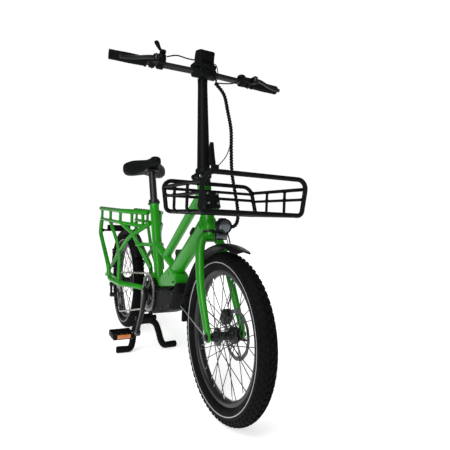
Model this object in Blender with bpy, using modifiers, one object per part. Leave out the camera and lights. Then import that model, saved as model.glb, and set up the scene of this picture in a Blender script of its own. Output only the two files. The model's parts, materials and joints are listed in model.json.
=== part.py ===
"""Compact longtail cargo bicycle with a mid-drive motor, modelled as separate closed solids.

The bicycle is laid out in its own working frame: X forward with x = 0 at the rear axle, Y to the
rider's left, Z up with the ground at z = 0. The empty "bicycle" then moves everything by REAR_AXLE_X,
so that the origin lies on the ground under the middle of the whole bicycle. Units are metres.
"""
import math

import bmesh
import bpy
import numpy as np
from mathutils import Matrix, Vector

# ---- driving dimensions -------------------------------------------------------------------------
REAR_AXLE_X = -0.5815
WHEEL_R = 0.260
WHEELBASE = 1.186
HEAD_ANGLE = math.radians(71.5)
HEAD_BOTTOM = Vector((1.042, 0.0, 0.576))
HEAD_LENGTH = 0.168
SEAT_TOP = Vector((0.431, 0.0, 0.690))
SEAT_LOW = Vector((0.535, 0.0, 0.380))
BOTTOM_BRACKET = Vector((0.543, 0.0, 0.289))
CRANK_LENGTH = 0.172
CRANK_ANGLE = math.radians(-81.4)
CHAIN_Y = -0.0475
CHAINRING_R = 0.081
RAIL_Y = 0.105
LOOP_Y = 0.117
BASKET_HALF_WIDTH = 0.165
BASKET_FLOOR_Z = 0.638
BAR_CENTRE = Vector((0.953, 0.0, 1.137))
STAND_PIVOT = Vector((0.420, -0.015, 0.142))
GAP = 0.0004

FRONT_AXLE = Vector((WHEELBASE, 0.0, WHEEL_R))
REAR_AXLE = Vector((0.0, 0.0, WHEEL_R))
STEER_AXIS = Vector((-math.cos(HEAD_ANGLE), 0.0, math.sin(HEAD_ANGLE)))
STEER_FORWARD = Vector((math.sin(HEAD_ANGLE), 0.0, math.cos(HEAD_ANGLE)))
SEAT_AXIS = (SEAT_TOP - SEAT_LOW).normalized()
CRANK_REACH = Vector((math.cos(CRANK_ANGLE), 0.0, math.sin(CRANK_ANGLE))) * CRANK_LENGTH
LEFT = Vector((0.0, 1.0, 0.0))

# colour (linear), metallic, roughness
FINISHES = {
    "green": ((0.028, 0.352, 0.013), 0.0, 0.25),
    "black": ((0.010, 0.011, 0.012), 0.2, 0.42),
    "rubber": ((0.009, 0.009, 0.008), 0.0, 0.85),
    "plastic": ((0.012, 0.012, 0.013), 0.0, 0.55),
    "steel": ((0.520, 0.530, 0.550), 1.0, 0.30),
    "lens": ((0.550, 0.570, 0.600), 0.0, 0.15),
    "red": ((0.350, 0.008, 0.006), 0.0, 0.30),
    "leather": ((0.012, 0.012, 0.014), 0.0, 0.60),
}


# ---- scene and modelling helpers ----------------------------------------------------------------
def clear_scene():
    """Remove what the scene already holds."""
    for leftover in list(bpy.data.objects):
        bpy.data.objects.remove(leftover, do_unlink=True)


def new_collection(name):
    """Add a collection to the scene."""
    collection = bpy.data.collections.new(name)
    bpy.context.scene.collection.children.link(collection)
    return collection


def link(name, data):
    """Make an object from a mesh or a curve, and put it in the scene."""
    piece = bpy.data.objects.new(name, data)
    bpy.context.scene.collection.objects.link(piece)
    return piece


def material(name, finish):
    """A Principled material for one sub-part."""
    colour, metallic, roughness = FINISHES[finish]
    made = bpy.data.materials.new(name)
    made.use_nodes = True
    shader = made.node_tree.nodes["Principled BSDF"]
    shader.inputs["Base Color"].default_value = (*colour, 1.0)
    shader.inputs["Metallic"].default_value = metallic
    shader.inputs["Roughness"].default_value = roughness
    return made


def solid(piece):
    """Turn a curve, or an object with modifiers, into a plain welded mesh object."""
    bpy.context.view_layer.update()
    evaluated = piece.evaluated_get(bpy.context.evaluated_depsgraph_get())
    mesh = bpy.data.meshes.new_from_object(evaluated)
    work = bmesh.new()
    work.from_mesh(mesh)
    work.transform(piece.matrix_world)
    bmesh.ops.remove_doubles(work, verts=work.verts, dist=0.00002)
    bmesh.ops.dissolve_degenerate(work, edges=work.edges, dist=0.00001)
    work.to_mesh(mesh)
    work.free()
    made = link(piece.name + "_mesh", mesh)
    bpy.data.objects.remove(piece, do_unlink=True)
    return made


def boolean(base, other, operation):
    """Join another solid to a base, or cut it away, and drop the other one."""
    step = base.modifiers.new("step", "BOOLEAN")
    step.operation = operation
    step.solver = "EXACT"
    step.object = other
    made = solid(base)
    bpy.data.objects.remove(other, do_unlink=True)
    return made


def weld(*pieces):
    """Union overlapping solids into one."""
    base = pieces[0]
    for other in pieces[1:]:
        base = boolean(base, other, "UNION")
    return base


def cut(base, *cutters):
    """Cut solids away from a base."""
    for cutter in cutters:
        base = boolean(base, cutter, "DIFFERENCE")
    return base


def side_of(point, sign):
    """A point of the rider's left (+1) or right (-1) side, from the left-side coordinates."""
    x, y, z = point
    return (x, y * sign, z)


def rounded(points, radius, steps=3, closed=False):
    """A polyline with each corner replaced by an arc of the given radius."""
    points = [Vector(p) for p in points]
    count = len(points)
    path = []
    for i, corner in enumerate(points):
        if not closed and i in (0, count - 1):
            path.append(corner)
            continue
        back = (points[i - 1] - corner).normalized()
        ahead = (points[(i + 1) % count] - corner).normalized()
        half = back.angle(ahead) / 2
        if half > math.radians(87):
            path.append(corner)
            continue
        reach = radius / math.tan(half)
        middle = corner + (back + ahead).normalized() * (radius / math.sin(half))
        start = corner + back * reach - middle
        end = corner + ahead * reach - middle
        for k in range(steps + 1):
            path.append(middle + start.normalized().slerp(end.normalized(), k / steps) * radius)
    return path


def tube(points, radius, sides=8, closed=False, taper=None):
    """A round bar along a polyline, from a bevelled curve with filled caps.

    taper, where given, is the factor on the radius at the last point.
    """
    data = bpy.data.curves.new("bar", "CURVE")
    data.dimensions = "3D"
    data.bevel_depth = radius
    data.bevel_resolution = (sides - 4) // 2
    data.use_fill_caps = True
    spline = data.splines.new("POLY")
    spline.points.add(len(points) - 1)
    for i, (place, point) in enumerate(zip(spline.points, points)):
        place.co = (*point, 1.0)
        if taper is not None:
            place.radius = 1.0 + (taper - 1.0) * i / (len(points) - 1)
    spline.use_cyclic_u = closed
    return solid(link("bar", data))


def cylinder(start, end, radius, end_radius=None, sides=16, width=1.0):
    """A cylinder or cone between two points; width scales it along Y."""
    start, end = Vector(start), Vector(end)
    work = bmesh.new()
    along = end - start
    bmesh.ops.create_cone(work, cap_ends=True, segments=sides, radius1=radius,
                          radius2=radius if end_radius is None else end_radius, depth=along.length)
    turn = along.to_track_quat("Z", "Y").to_matrix().to_4x4()
    work.transform(Matrix.Translation((start + end) / 2) @ turn)
    if width != 1.0:
        for vert in work.verts:
            vert.co.y *= width
    mesh = bpy.data.meshes.new("cylinder")
    work.to_mesh(mesh)
    work.free()
    return link("cylinder", mesh)


def box(centre, size, tilt=0.0, bevel=0.0):
    """A box tilted about Y, with its edges chamfered."""
    work = bmesh.new()
    bmesh.ops.create_cube(work, size=1.0)
    work.transform(Matrix.Diagonal((*size, 1.0)))
    if bevel:
        bmesh.ops.bevel(work, geom=work.edges, offset=bevel, segments=1, affect="EDGES")
    work.transform(Matrix.Translation(centre) @ Matrix.Rotation(tilt, 4, "Y"))
    mesh = bpy.data.meshes.new("box")
    work.to_mesh(mesh)
    work.free()
    return link("box", mesh)


def plate(outline, y_from, y_to):
    """A flat plate: an outline of (x, z) points between two Y planes."""
    data = bpy.data.curves.new("plate", "CURVE")
    data.dimensions = "2D"
    data.fill_mode = "BOTH"
    data.extrude = abs(y_to - y_from) / 2
    spline = data.splines.new("POLY")
    spline.points.add(len(outline) - 1)
    for place, (x, z) in zip(spline.points, outline):
        place.co = (x, z, 0.0, 1.0)
    spline.use_cyclic_u = True
    piece = link("plate", data)
    middle = Matrix.Translation((0, (y_from + y_to) / 2, 0))
    piece.matrix_world = middle @ Matrix.Rotation(math.pi / 2, 4, "X")
    return solid(piece)


def turned(profile, centre, steps=24):
    """A solid of revolution about the Y line through centre, from (radius, y) points.

    A closed ring's profile ends where it starts; an open one starts and ends on the axis. The
    points run so that y falls along the outer side.
    """
    mesh = bpy.data.meshes.new("profile")
    mesh.from_pydata([(r, 0.0, y) for r, y in profile], [(i, i + 1) for i in range(len(profile) - 1)], [])
    piece = link("turned", mesh)
    screw = piece.modifiers.new("screw", "SCREW")
    screw.steps = screw.render_steps = steps
    screw.use_merge_vertices = True
    screw.merge_threshold = 0.00005
    piece.matrix_world = Matrix.Translation(centre) @ Matrix.Rotation(-math.pi / 2, 4, "X")
    return solid(piece)


def disc(radius, y_from, y_to, centre, sides=24):
    """A round slab across Y."""
    return cylinder(centre + LEFT * y_from, centre + LEFT * y_to, radius, sides=sides)


def wheel_arc(centre, radius, from_deg, to_deg, count):
    """Points (x, z) on an arc round a wheel."""
    turns = np.radians(np.linspace(from_deg, to_deg, count))
    return [(centre.x + radius * math.cos(a), centre.z + radius * math.sin(a)) for a in turns]


def steer(along, forward=0.0, left=0.0):
    """A point by its distance up the steering axis, forward of it and to the left."""
    return HEAD_BOTTOM + STEER_AXIS * along + STEER_FORWARD * forward + LEFT * left


# ---- frame --------------------------------------------------------------------------------------
SHELL_BOTTOM = [(0.455, 0.2965), (0.603, 0.3175), (0.819, 0.3540)]


def main_frame():
    """Head tube, down tube, top tube, strut, seat tube and the cover over the motor."""
    head = cylinder(steer(0.002), steer(HEAD_LENGTH), 0.0245, sides=20)
    down = cylinder((1.012, 0, 0.5955), (0.735, 0, 0.3915), 0.0310, sides=16, width=0.86)
    top = cylinder((0.990, 0, 0.7195), (0.640, 0, 0.4605), 0.0175, sides=12)
    strut = cylinder((0.492, 0, 0.4990), (0.772, 0, 0.4060), 0.0165, sides=12)
    seat = cylinder(SEAT_TOP, SEAT_LOW - SEAT_AXIS * 0.05, 0.0200, sides=16)
    cover = plate(SHELL_BOTTOM + [(0.812, 0.400), (0.742, 0.428), (0.640, 0.372), (0.560, 0.352),
                                  (0.520, 0.372), (0.468, 0.340)], -0.030, 0.030)
    frame = weld(head, down, top, strut, seat, cover)
    steerer_bore = cylinder(steer(-0.02), steer(HEAD_LENGTH + 0.02), 0.0165, sides=16)
    post_bore = cylinder(SEAT_TOP + SEAT_AXIS * 0.02, SEAT_TOP - SEAT_AXIS * 0.275, 0.0164, sides=12)
    return cut(frame, steerer_bore, post_bore)


def rail_path(z_front, z_bend, z_rear, x_front, x_rear, y_front):
    """Plan of a rack rail: straight beside the wheel, then in towards the seat tube."""
    return [(x_front, y_front, z_front), (0.240, RAIL_Y, z_bend), (x_rear, RAIL_Y, z_rear)]


TOP_RAIL = rail_path(0.6370, 0.6430, 0.6610, 0.4300, -0.2680, 0.0270)
LOW_RAIL = rail_path(0.5725, 0.5850, 0.5980, 0.4180, -0.2520, 0.0280)
RAIL_POST_X = (-0.236, -0.005, 0.222, 0.318, 0.395)


def rail_point(rail, x):
    """The point of a rail at x."""
    front, bend, rear = (Vector(p) for p in rail)
    first, second = (front, bend) if x > bend.x else (bend, rear)
    return first.lerp(second, (x - first.x) / (second.x - first.x))


def rack_side(sign):
    """Two rails of the rear rack and the five short posts between them."""
    pieces = [tube([side_of(p, sign) for p in TOP_RAIL], 0.0105), low_rail(sign)]
    for x in RAIL_POST_X:
        foot, head = rail_point(LOW_RAIL, x), rail_point(TOP_RAIL, x)
        pieces.append(tube([side_of(foot, sign), side_of(head, sign)], 0.0075))
    return cut(weld(*pieces), seat_stay(sign, GAP), seat_tube_room())


def outer_loop(sign, extra=0.0):
    """The tube from under the rack's rear end, down past the axle and forward to the motor."""
    corners = [(-0.245, RAIL_Y, 0.5876), (-0.243, RAIL_Y + 0.005, 0.515), (0.036, LOOP_Y, 0.350),
               (0.078, LOOP_Y, 0.282), (0.280, 0.108, 0.2845), (0.375, 0.062, 0.2885),
               (0.452, 0.0335, 0.2880)]
    return tube(rounded([side_of(p, sign) for p in corners], 0.045), 0.0115 + extra, sides=8)


STAY = [(0.452, 0.0230, 0.590), (0.300, 0.0780, 0.517), (0.030, 0.0865, 0.370), (-0.118, 0.0930, 0.277)]


def seat_stay(sign, extra=0.0):
    """Tapering stay from the seat tube to the dropout; extra widens it to make room for it."""
    return tube([side_of(p, sign) for p in STAY], 0.0110 + extra, taper=0.82)


def low_rail(sign, extra=0.0):
    """Lower rail of the rear rack."""
    return tube([side_of(p, sign) for p in LOW_RAIL], 0.0090 + extra)


def seat_tube_room():
    """The space that the seat tube takes up, with a small gap."""
    return cylinder(SEAT_TOP + SEAT_AXIS * 0.01, SEAT_LOW - SEAT_AXIS * 0.02, 0.0200 + GAP, sides=16)


def front_brace(sign, extra=0.0):
    """Brace from the lower rail, across the stay, to the foot of the seat tube."""
    points = [(0.240, RAIL_Y, 0.5850), (0.322, 0.0680, 0.5380), (0.505, 0.0270, 0.3860)]
    return tube([side_of(p, sign) for p in points], 0.0100 + extra)


def rear_truss(sign):
    """The seat stay and the two braces that cross it."""
    brace = [(0.002, RAIL_Y, 0.5850), (0.150, 0.0860, 0.4420), (0.255, 0.1100, 0.2900)]
    middle = tube([side_of(p, sign) for p in brace], 0.0090, sides=8)
    truss = weld(seat_stay(sign), front_brace(sign), middle)
    return cut(truss, low_rail(sign, GAP), outer_loop(sign, GAP), seat_tube_room())


def chainstay(sign):
    """The chainstay with its dropout plate, and on the right the wheel's axle."""
    route = [(0.030, 0.0705, 0.262), (0.200, 0.0560, 0.272), (0.350, 0.0330, 0.281), (0.448, 0.0120, 0.283)]
    bar = tube(rounded([side_of(p, sign) for p in route], 0.05), 0.0088)
    outline = [(-0.128, 0.262), (-0.020, 0.236), (0.020, 0.236), (0.052, 0.256), (0.040, 0.282),
               (-0.100, 0.292), (-0.128, 0.288)]
    dropout = plate(outline, sign * 0.0680, sign * 0.0750)
    if sign > 0:
        return weld(bar, dropout)
    axle = disc(0.0058, -0.0790, 0.0676, REAR_AXLE, sides=12)
    return weld(bar, dropout, axle)


def seat_tube_bridge():
    """The bent tube that ties both stays to the seat tube, round the front of the tyre."""
    corners = [(0.3900, 0.0640, 0.4850), (0.4300, 0.0460, 0.4910), (0.4640, 0.0, 0.4900)]
    left = [side_of(p, 1) for p in corners]
    right = [side_of(p, -1) for p in reversed(corners[:2])]
    bridge = tube(rounded(left + right, 0.022, steps=3), 0.0085)
    return cut(bridge, front_brace(1, GAP), front_brace(-1, GAP), seat_tube_room())


def rack_crossbar(x):
    """A bar between the top rails."""
    at = rail_point(TOP_RAIL, x)
    reach = at.y - 0.0110
    return cylinder((x, -reach, at.z), (x, reach, at.z), 0.0070, sides=10)


def seat_clamp():
    """Collar round the top of the seat tube."""
    low, high = SEAT_TOP - SEAT_AXIS * 0.014, SEAT_TOP + SEAT_AXIS * 0.0095
    collar = cylinder(low, high, 0.0250, sides=16)
    lugs = box((SEAT_TOP.x - 0.028, 0.0, SEAT_TOP.z - 0.006), (0.022, 0.020, 0.018), tilt=-0.32, bevel=0.002)
    bore = cylinder(SEAT_TOP - SEAT_AXIS * 0.01, high + SEAT_AXIS * 0.02, 0.0166, sides=12)
    seat = cylinder(low - SEAT_AXIS * 0.02, SEAT_TOP + SEAT_AXIS * GAP, 0.0206, sides=16)
    return cut(weld(collar, lugs), seat, bore)


def seat_clamp_lever():
    """Quick-release lever beside the collar."""
    pivot = cylinder((0.392, 0.0172, 0.6805), (0.392, 0.0172, 0.6925), 0.0056, sides=12)
    blade = tube([(0.392, 0.0172, 0.6865), (0.374, 0.0330, 0.6890), (0.366, 0.0480, 0.6930)], 0.0045, sides=6)
    return weld(pivot, blade)


def motor():
    """Mid-drive motor with a bore for the crank spindle."""
    gap = 0.0006
    top = [(x, z - gap) for x, z in SHELL_BOTTOM]
    outline = [(0.470, 0.240), (0.500, 0.204), (0.580, 0.199), (0.700, 0.228), (0.805, 0.262), (0.862, 0.338),
               (0.842, 0.380), (0.822, 0.3520)] + top[::-1]
    body = plate(outline, -0.0390, 0.0390)
    return cut(body, disc(0.0130, -0.05, 0.05, BOTTOM_BRACKET, sides=16))


def kickstand_bracket():
    """Block under the rear of the motor that carries the stand's pivot."""
    block = box((0.4260, -0.015, 0.2060), (0.0340, 0.052, 0.124), bevel=0.003)
    foot = box((0.4460, -0.015, 0.2500), (0.0310, 0.030, 0.024), bevel=0.002)
    return cut(weld(block, foot), disc(0.0136, -0.06, 0.06, STAND_PIVOT, sides=16))


def kickstand():
    """Double-leg stand: a cross tube, two bowed legs and two outward feet."""
    pieces = [disc(0.0128, -0.0500, 0.0500, STAND_PIVOT, sides=14)]
    for sign in (-1, 1):
        legs = [(0.420, 0.034, 0.142), (0.424, 0.055, 0.138), (0.441, 0.062, 0.072), (0.456, 0.071, 0.0138),
                (0.451, 0.136, 0.0138)]
        path = [Vector((x, sign * y + STAND_PIVOT.y, z)) for x, y, z in legs]
        pieces.append(tube(rounded(path, 0.025, steps=3), 0.0138))
    return weld(*pieces)


def mudguard(centre, from_deg, to_deg, half_width, inner_r):
    """A curved strip over a wheel with turned-down edges."""
    thickness = 0.0022
    crown, lip = half_width * 0.80, 0.009
    section = [(-half_width, -lip), (-crown, 0.0), (crown, 0.0), (half_width, -lip)]
    count = 15
    mesh = bpy.data.meshes.new("guard")
    verts = []
    for turn in np.radians(np.linspace(from_deg, to_deg, count)):
        for y, drop in section:
            r = inner_r + lip + drop
            verts.append((centre.x + r * math.cos(turn), y, centre.z + r * math.sin(turn)))
    width = len(section)
    faces = [(i * width + j, i * width + j + 1, (i + 1) * width + j + 1, (i + 1) * width + j)
             for i in range(count - 1) for j in range(width - 1)]
    mesh.from_pydata(verts, [], faces)
    piece = link("guard", mesh)
    shell = piece.modifiers.new("sheet", "SOLIDIFY")
    shell.thickness = thickness
    shell.offset = 0.0
    return solid(piece)


def rear_mudguard():
    """Guard over the rear wheel with its two stays."""
    guard = mudguard(REAR_AXLE, 33, 172, 0.0330, 0.2760)
    rods = []
    for sign in (-1, 1):
        rods.append(tube([(-0.030, sign * 0.0640, 0.285), (-0.2250, sign * 0.0400, 0.4140),
                          (-0.2230, sign * 0.0300, 0.4180)], 0.0024, sides=6))
    return weld(guard, *rods)


def tail_light():
    """Black cross bar between the outer tubes with the lamp box on it."""
    bar = cylinder((-0.2440, -0.0955, 0.5300), (-0.2440, 0.0955, 0.5300), 0.0060, sides=10)
    lamp = box((-0.2480, 0.0, 0.5480), (0.0240, 0.1400, 0.0300), bevel=0.003)
    return weld(bar, lamp)


# ---- drivetrain ---------------------------------------------------------------------------------
PULLEY_HIGH = Vector((0.020, CHAIN_Y, 0.185))
PULLEY_LOW = Vector((0.052, CHAIN_Y, 0.118))
HANGER = Vector((0.006, 0.0, 0.216))


def gear(radius, teeth, y_from, y_to, centre, depth=0.0032):
    """A toothed disc with pointed teeth."""
    outline = []
    for k in range(2 * teeth):
        r = radius if k % 2 else radius - depth
        a = math.pi * k / teeth
        outline.append((centre.x + r * math.cos(a), centre.z + r * math.sin(a)))
    return plate(outline, y_from, y_to)


def crank_right():
    """Spindle, chainring and right arm, with the pedal's pin."""
    spindle = disc(0.0124, 0.0500, -0.0700, BOTTOM_BRACKET, sides=16)
    ring = gear(CHAINRING_R - 0.004, 40, CHAIN_Y - 0.0016, CHAIN_Y + 0.0016, BOTTOM_BRACKET, depth=0.003)
    windows = []
    for k in range(5):
        turn = math.radians(72 * k + 20)
        hole = BOTTOM_BRACKET + Vector((math.cos(turn), 0, math.sin(turn))) * 0.044
        windows.append(disc(0.0150, CHAIN_Y - 0.01, CHAIN_Y + 0.01, hole, sides=8))
    ring = cut(ring, *windows)
    return weld(spindle, ring, arm(-1))


def arm(sign):
    """A crank arm that flares outwards to the pedal, and the pin that the pedal turns on."""
    reach = CRANK_REACH * (1 if sign < 0 else -1)
    hub = BOTTOM_BRACKET + LEFT * sign * 0.0650
    end = BOTTOM_BRACKET + reach + LEFT * sign * 0.0950
    boss = disc(0.0180, sign * 0.0560, sign * 0.0745, BOTTOM_BRACKET, sides=16)
    bar = cylinder(hub, end, 0.0125, 0.0105, sides=10)
    eye = disc(0.0150, sign * 0.0870, sign * 0.1030, BOTTOM_BRACKET + reach, sides=14)
    pin = disc(0.0060, sign * 0.0900, sign * 0.2050, BOTTOM_BRACKET + reach, sides=10)
    return weld(boss, bar, eye, pin)


def crank_left():
    """Left arm, on the end of the spindle."""
    return cut(arm(1), disc(0.0130, 0.0, 0.0506, BOTTOM_BRACKET, sides=16))


def pedal(sign):
    """Flat pedal with a bore for its pin."""
    centre = BOTTOM_BRACKET + CRANK_REACH * (1 if sign < 0 else -1)
    body = box(centre + LEFT * sign * 0.1650, (0.0900, 0.0900, 0.0270), bevel=0.006)
    return cut(body, disc(0.0066, sign * 0.1, sign * 0.2060, centre, sides=12))


def cassette():
    """Stepped sprocket stack on the rear hub."""
    levels = [(0.0235, -0.0620), (0.0300, -0.0560), (0.0350, -0.0515), (0.0400, -0.0470), (0.0440, -0.0425)]
    inner = 0.0150
    profile = [(inner, -0.0380), (levels[-1][0], -0.0380)]
    for radius, y in reversed(levels):
        profile.append((radius, profile[-1][1]))
        profile.append((radius, y))
    profile += [(inner, levels[0][1]), (inner, -0.0380)]
    clean = [p for i, p in enumerate(profile) if i == 0 or p != profile[i - 1]]
    return turned(clean, REAR_AXLE, steps=20)


def chain():
    """The chain as one closed band: over chainring and sprocket, and down round both pulleys."""
    half = 0.0032
    ring_r, cog_r, pulley_r = CHAINRING_R, 0.0440, 0.0210
    ring = Vector((BOTTOM_BRACKET.x, 0, BOTTOM_BRACKET.z))
    hub = Vector((0, 0, WHEEL_R))
    centre_line = []

    def arc(centre, radius, start, stop, count):
        for a in np.radians(np.linspace(start, stop, count)):
            centre_line.append((centre.x + radius * math.cos(a), centre.z + radius * math.sin(a)))

    arc(ring, ring_r, 92, -104, 19)
    arc(Vector((PULLEY_LOW.x, 0, PULLEY_LOW.z)), pulley_r, -76, -205, 7)
    arc(Vector((PULLEY_HIGH.x, 0, PULLEY_HIGH.z)), pulley_r + 0.001, -38, 30, 5)
    arc(hub, cog_r, -30, -268, 15)
    pieces = tube([(x, CHAIN_Y, z) for x, z in centre_line], half, sides=6, closed=True)
    return pieces


def derailleur_body():
    """Hanger knuckle and link, outboard of the sprockets."""
    knuckle = disc(0.0110, -0.0757, -0.1000, HANGER + Vector((0, 0, 0.026)), sides=14)
    link_bar = cylinder((0.006, -0.0930, 0.240), (0.016, -0.0930, 0.196), 0.0085, sides=8)
    lower = disc(0.0120, -0.0640, -0.1000, Vector((0.020, 0.0, 0.185)), sides=14)
    return weld(knuckle, link_bar, lower)


def derailleur_cage():
    """Two cage plates with the pulleys between them."""
    outline = []
    for centre, start, stop in ((PULLEY_HIGH, -25, 155), (PULLEY_LOW, 155, 335)):
        outline += wheel_arc(centre, 0.0130, start, stop, 6)
    plate_out = plate(outline, CHAIN_Y - 0.0090, CHAIN_Y - 0.0070)
    plate_in = plate(outline, CHAIN_Y + 0.0070, CHAIN_Y + 0.0090)
    pins = [disc(0.0050, CHAIN_Y - 0.0085, CHAIN_Y + 0.0085, Vector((p.x, 0, p.z)), sides=8)
            for p in (PULLEY_HIGH, PULLEY_LOW)]
    pulleys = [gear(0.0165, 11, CHAIN_Y - 0.0012, CHAIN_Y + 0.0012, Vector((p.x, 0, p.z)))
               for p in (PULLEY_HIGH, PULLEY_LOW)]
    return weld(plate_out, *pins, plate_in, *pulleys)


# ---- wheels -------------------------------------------------------------------------------------
def tyre(centre):
    """Wide tyre: a flattened ring section with a rounded tread."""
    section = [(0.2035, 0.0150), (0.2120, 0.0235), (0.2260, 0.0280), (0.2400, 0.0270), (0.2530, 0.0180),
               (WHEEL_R, 0.0)]
    lower = [(r, -y) for r, y in reversed(section[:-1])]
    profile = [section[0]] + section[1:] + lower + [section[0]]
    return turned(profile, centre, steps=40)


def rim(centre):
    """Box-section rim inside the tyre."""
    outer, inner = 0.2030, 0.1890
    profile = [(outer, 0.0145), (outer, -0.0145), (inner + 0.003, -0.0140), (inner, -0.0060), (inner, 0.0060),
               (inner + 0.003, 0.0140), (outer, 0.0145)]
    return turned(profile, centre, steps=40)


def hub(centre, flange_y, shell_r, half_length, rotor_y, rotor_r, right_half=None):
    """Hub shell, flanges, spokes and brake rotor, with a bore for the axle."""
    right_half = half_length if right_half is None else right_half
    bore = 0.0064
    flange_r, half_thick = shell_r + 0.012, 0.0018
    profile = [(bore, half_length), (shell_r * 0.7, half_length)]
    for y in (flange_y, -flange_y):
        profile += [(shell_r, y + 0.004), (flange_r, y + half_thick), (flange_r, y - half_thick), (shell_r, y - 0.004)]
    profile += [(shell_r * 0.7, -right_half), (bore, -right_half), (bore, half_length)]
    shell = turned(profile, centre, steps=16)
    pieces = [shell]
    spokes = 16
    for k in range(spokes):
        sign = 1 if k % 2 else -1
        turn = 2 * math.pi * k / spokes
        lead = turn + sign * 0.45
        root_r = flange_r - 0.005
        root = centre + Vector((math.cos(lead) * root_r, sign * flange_y, math.sin(lead) * root_r))
        tip = centre + Vector((math.cos(turn) * 0.1868, sign * 0.0035, math.sin(turn) * 0.1868))
        pieces.append(cylinder(root, tip, 0.0012, sides=4))
    rotor = turned([(0.0100, rotor_y + 0.0009), (rotor_r, rotor_y + 0.0009), (rotor_r, rotor_y - 0.0009),
                    (0.0100, rotor_y - 0.0009), (0.0100, rotor_y + 0.0009)], centre, steps=24)
    windows = []
    for k in range(6):
        turn = math.radians(60 * k + 15)
        windows.append(disc(0.0150, rotor_y - 0.01, rotor_y + 0.01,
                            centre + Vector((math.cos(turn), 0, math.sin(turn))) * 0.0440, sides=6))
    return weld(*pieces, cut(rotor, *windows))


# ---- fork and front assembly --------------------------------------------------------------------
def fork():
    """Steerer, crown, both legs and the wheel's axle."""
    steerer = cylinder(steer(-0.030), steer(HEAD_LENGTH - 0.001), 0.0158, sides=16)
    crown = box(steer(-0.022), (0.044, 0.078, 0.032), tilt=HEAD_ANGLE - math.pi / 2, bevel=0.006)
    pieces = [steerer, crown]
    for sign in (-1, 1):
        path = [steer(-0.018, 0.001, sign * 0.030), steer(-0.036, 0.004, sign * 0.050),
                steer(-0.075, 0.008, sign * 0.0590), steer(-0.180, 0.016, sign * 0.060),
                FRONT_AXLE + Vector((0, sign * 0.0615, 0.010))]
        pieces.append(tube(path, 0.0145, sides=10, taper=0.75))
        pieces.append(disc(0.0145, sign * 0.0510, sign * 0.0670, FRONT_AXLE, sides=12))
    pieces.append(disc(0.0058, -0.0700, 0.0700, FRONT_AXLE, sides=10))
    return weld(*pieces)


def front_mudguard():
    """Guard over the front wheel with one stay each side."""
    guard = mudguard(FRONT_AXLE, 71, 178, 0.0330, 0.2760)
    rods = []
    for sign in (-1, 1):
        rods.append(tube([(1.165, sign * 0.0475, 0.2450), (0.9130, sign * 0.0400, 0.3000),
                          (0.9085, sign * 0.0300, 0.3000)], 0.0024, sides=6))
    return weld(guard, *rods)


def headlamp():
    """Round lamp on the crown with a reflector below it."""
    centre = Vector((1.148, 0.0, 0.598))
    rear, front = centre + Vector((-0.034, 0, 0.004)), centre + Vector((0.012, 0, -0.001))
    barrel = cylinder(rear, front, 0.020, 0.0245, sides=20)
    reflector = box((1.138, 0.0, 0.5655), (0.012, 0.040, 0.022), bevel=0.002)
    neck = box((1.1080, 0.0, 0.5780), (0.060, 0.014, 0.014), bevel=0.002)
    stem = box((1.130, 0.0, 0.578), (0.010, 0.014, 0.024))
    return weld(barrel, neck, stem, reflector)


def caliper(centre, axle, rotor_y):
    """Brake caliper body with a slot, open towards the axle, for the rotor."""
    inward = Vector((axle.x - centre.x, 0.0, axle.z - centre.z)).normalized()
    tilt = math.atan2(-inward.z, inward.x)
    body = box(centre, (0.032, 0.030, 0.046), tilt=tilt, bevel=0.004)
    middle = centre + inward * 0.014
    slot = box((middle.x, rotor_y, middle.z), (0.044, 0.0042, 0.070), tilt=tilt)
    return cut(body, slot)


def stem_base():
    """Clamp on the steerer that carries the folding post's hinge."""
    lower = cylinder(steer(HEAD_LENGTH + 0.0006), steer(HEAD_LENGTH + 0.024), 0.0245, sides=20)
    hinge = cylinder((0.9480, -0.0240, 0.7650), (1.0080, -0.0240, 0.7650), 0.0080, sides=12)
    return weld(lower, hinge)


# ---- basket-style front rack --------------------------------------------------------------------
BASKET_FRONT_X, BASKET_REAR_X, BASKET_TOP_REAR_X = 1.326, 1.072, 1.030
BASKET_RAIL_Z = 0.7160
BASKET_MID_Z = 0.6860


def hoop_x(z, front):
    """X of the front or rear hoop at height z; both lean a little."""
    rise = (z - BASKET_FLOOR_Z) / (0.738 - BASKET_FLOOR_Z)
    if front:
        return BASKET_FRONT_X + 0.018 * rise
    return BASKET_REAR_X + (BASKET_TOP_REAR_X - BASKET_REAR_X) * rise


def basket_base():
    """Floor ring with three slats."""
    half = BASKET_HALF_WIDTH
    ring = [(BASKET_FRONT_X, -half, BASKET_FLOOR_Z), (BASKET_FRONT_X, half, BASKET_FLOOR_Z),
            (BASKET_REAR_X, half, BASKET_FLOOR_Z), (BASKET_REAR_X, -half, BASKET_FLOOR_Z)]
    pieces = [tube(rounded(ring, 0.028, steps=4, closed=True), 0.0072, closed=True)]
    for y in (-0.082, 0.0, 0.082):
        ends = [(x, y, BASKET_FLOOR_Z) for x in (BASKET_REAR_X, BASKET_FRONT_X)]
        pieces.append(cylinder(*ends, 0.0050, sides=8))
    return weld(*pieces)


def hoop_bar(front, extra=0.0):
    """The bent tube of a hoop."""
    half, foot = BASKET_HALF_WIDTH, BASKET_FLOOR_Z + 0.0078
    top = 0.742 if front else 0.738
    corners = [(hoop_x(foot, front), -half, foot), (hoop_x(top, front), -half, top),
               (hoop_x(top, front), half, top), (hoop_x(foot, front), half, foot)]
    return tube(rounded(corners, 0.034, steps=4), 0.0070 + extra)


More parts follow.
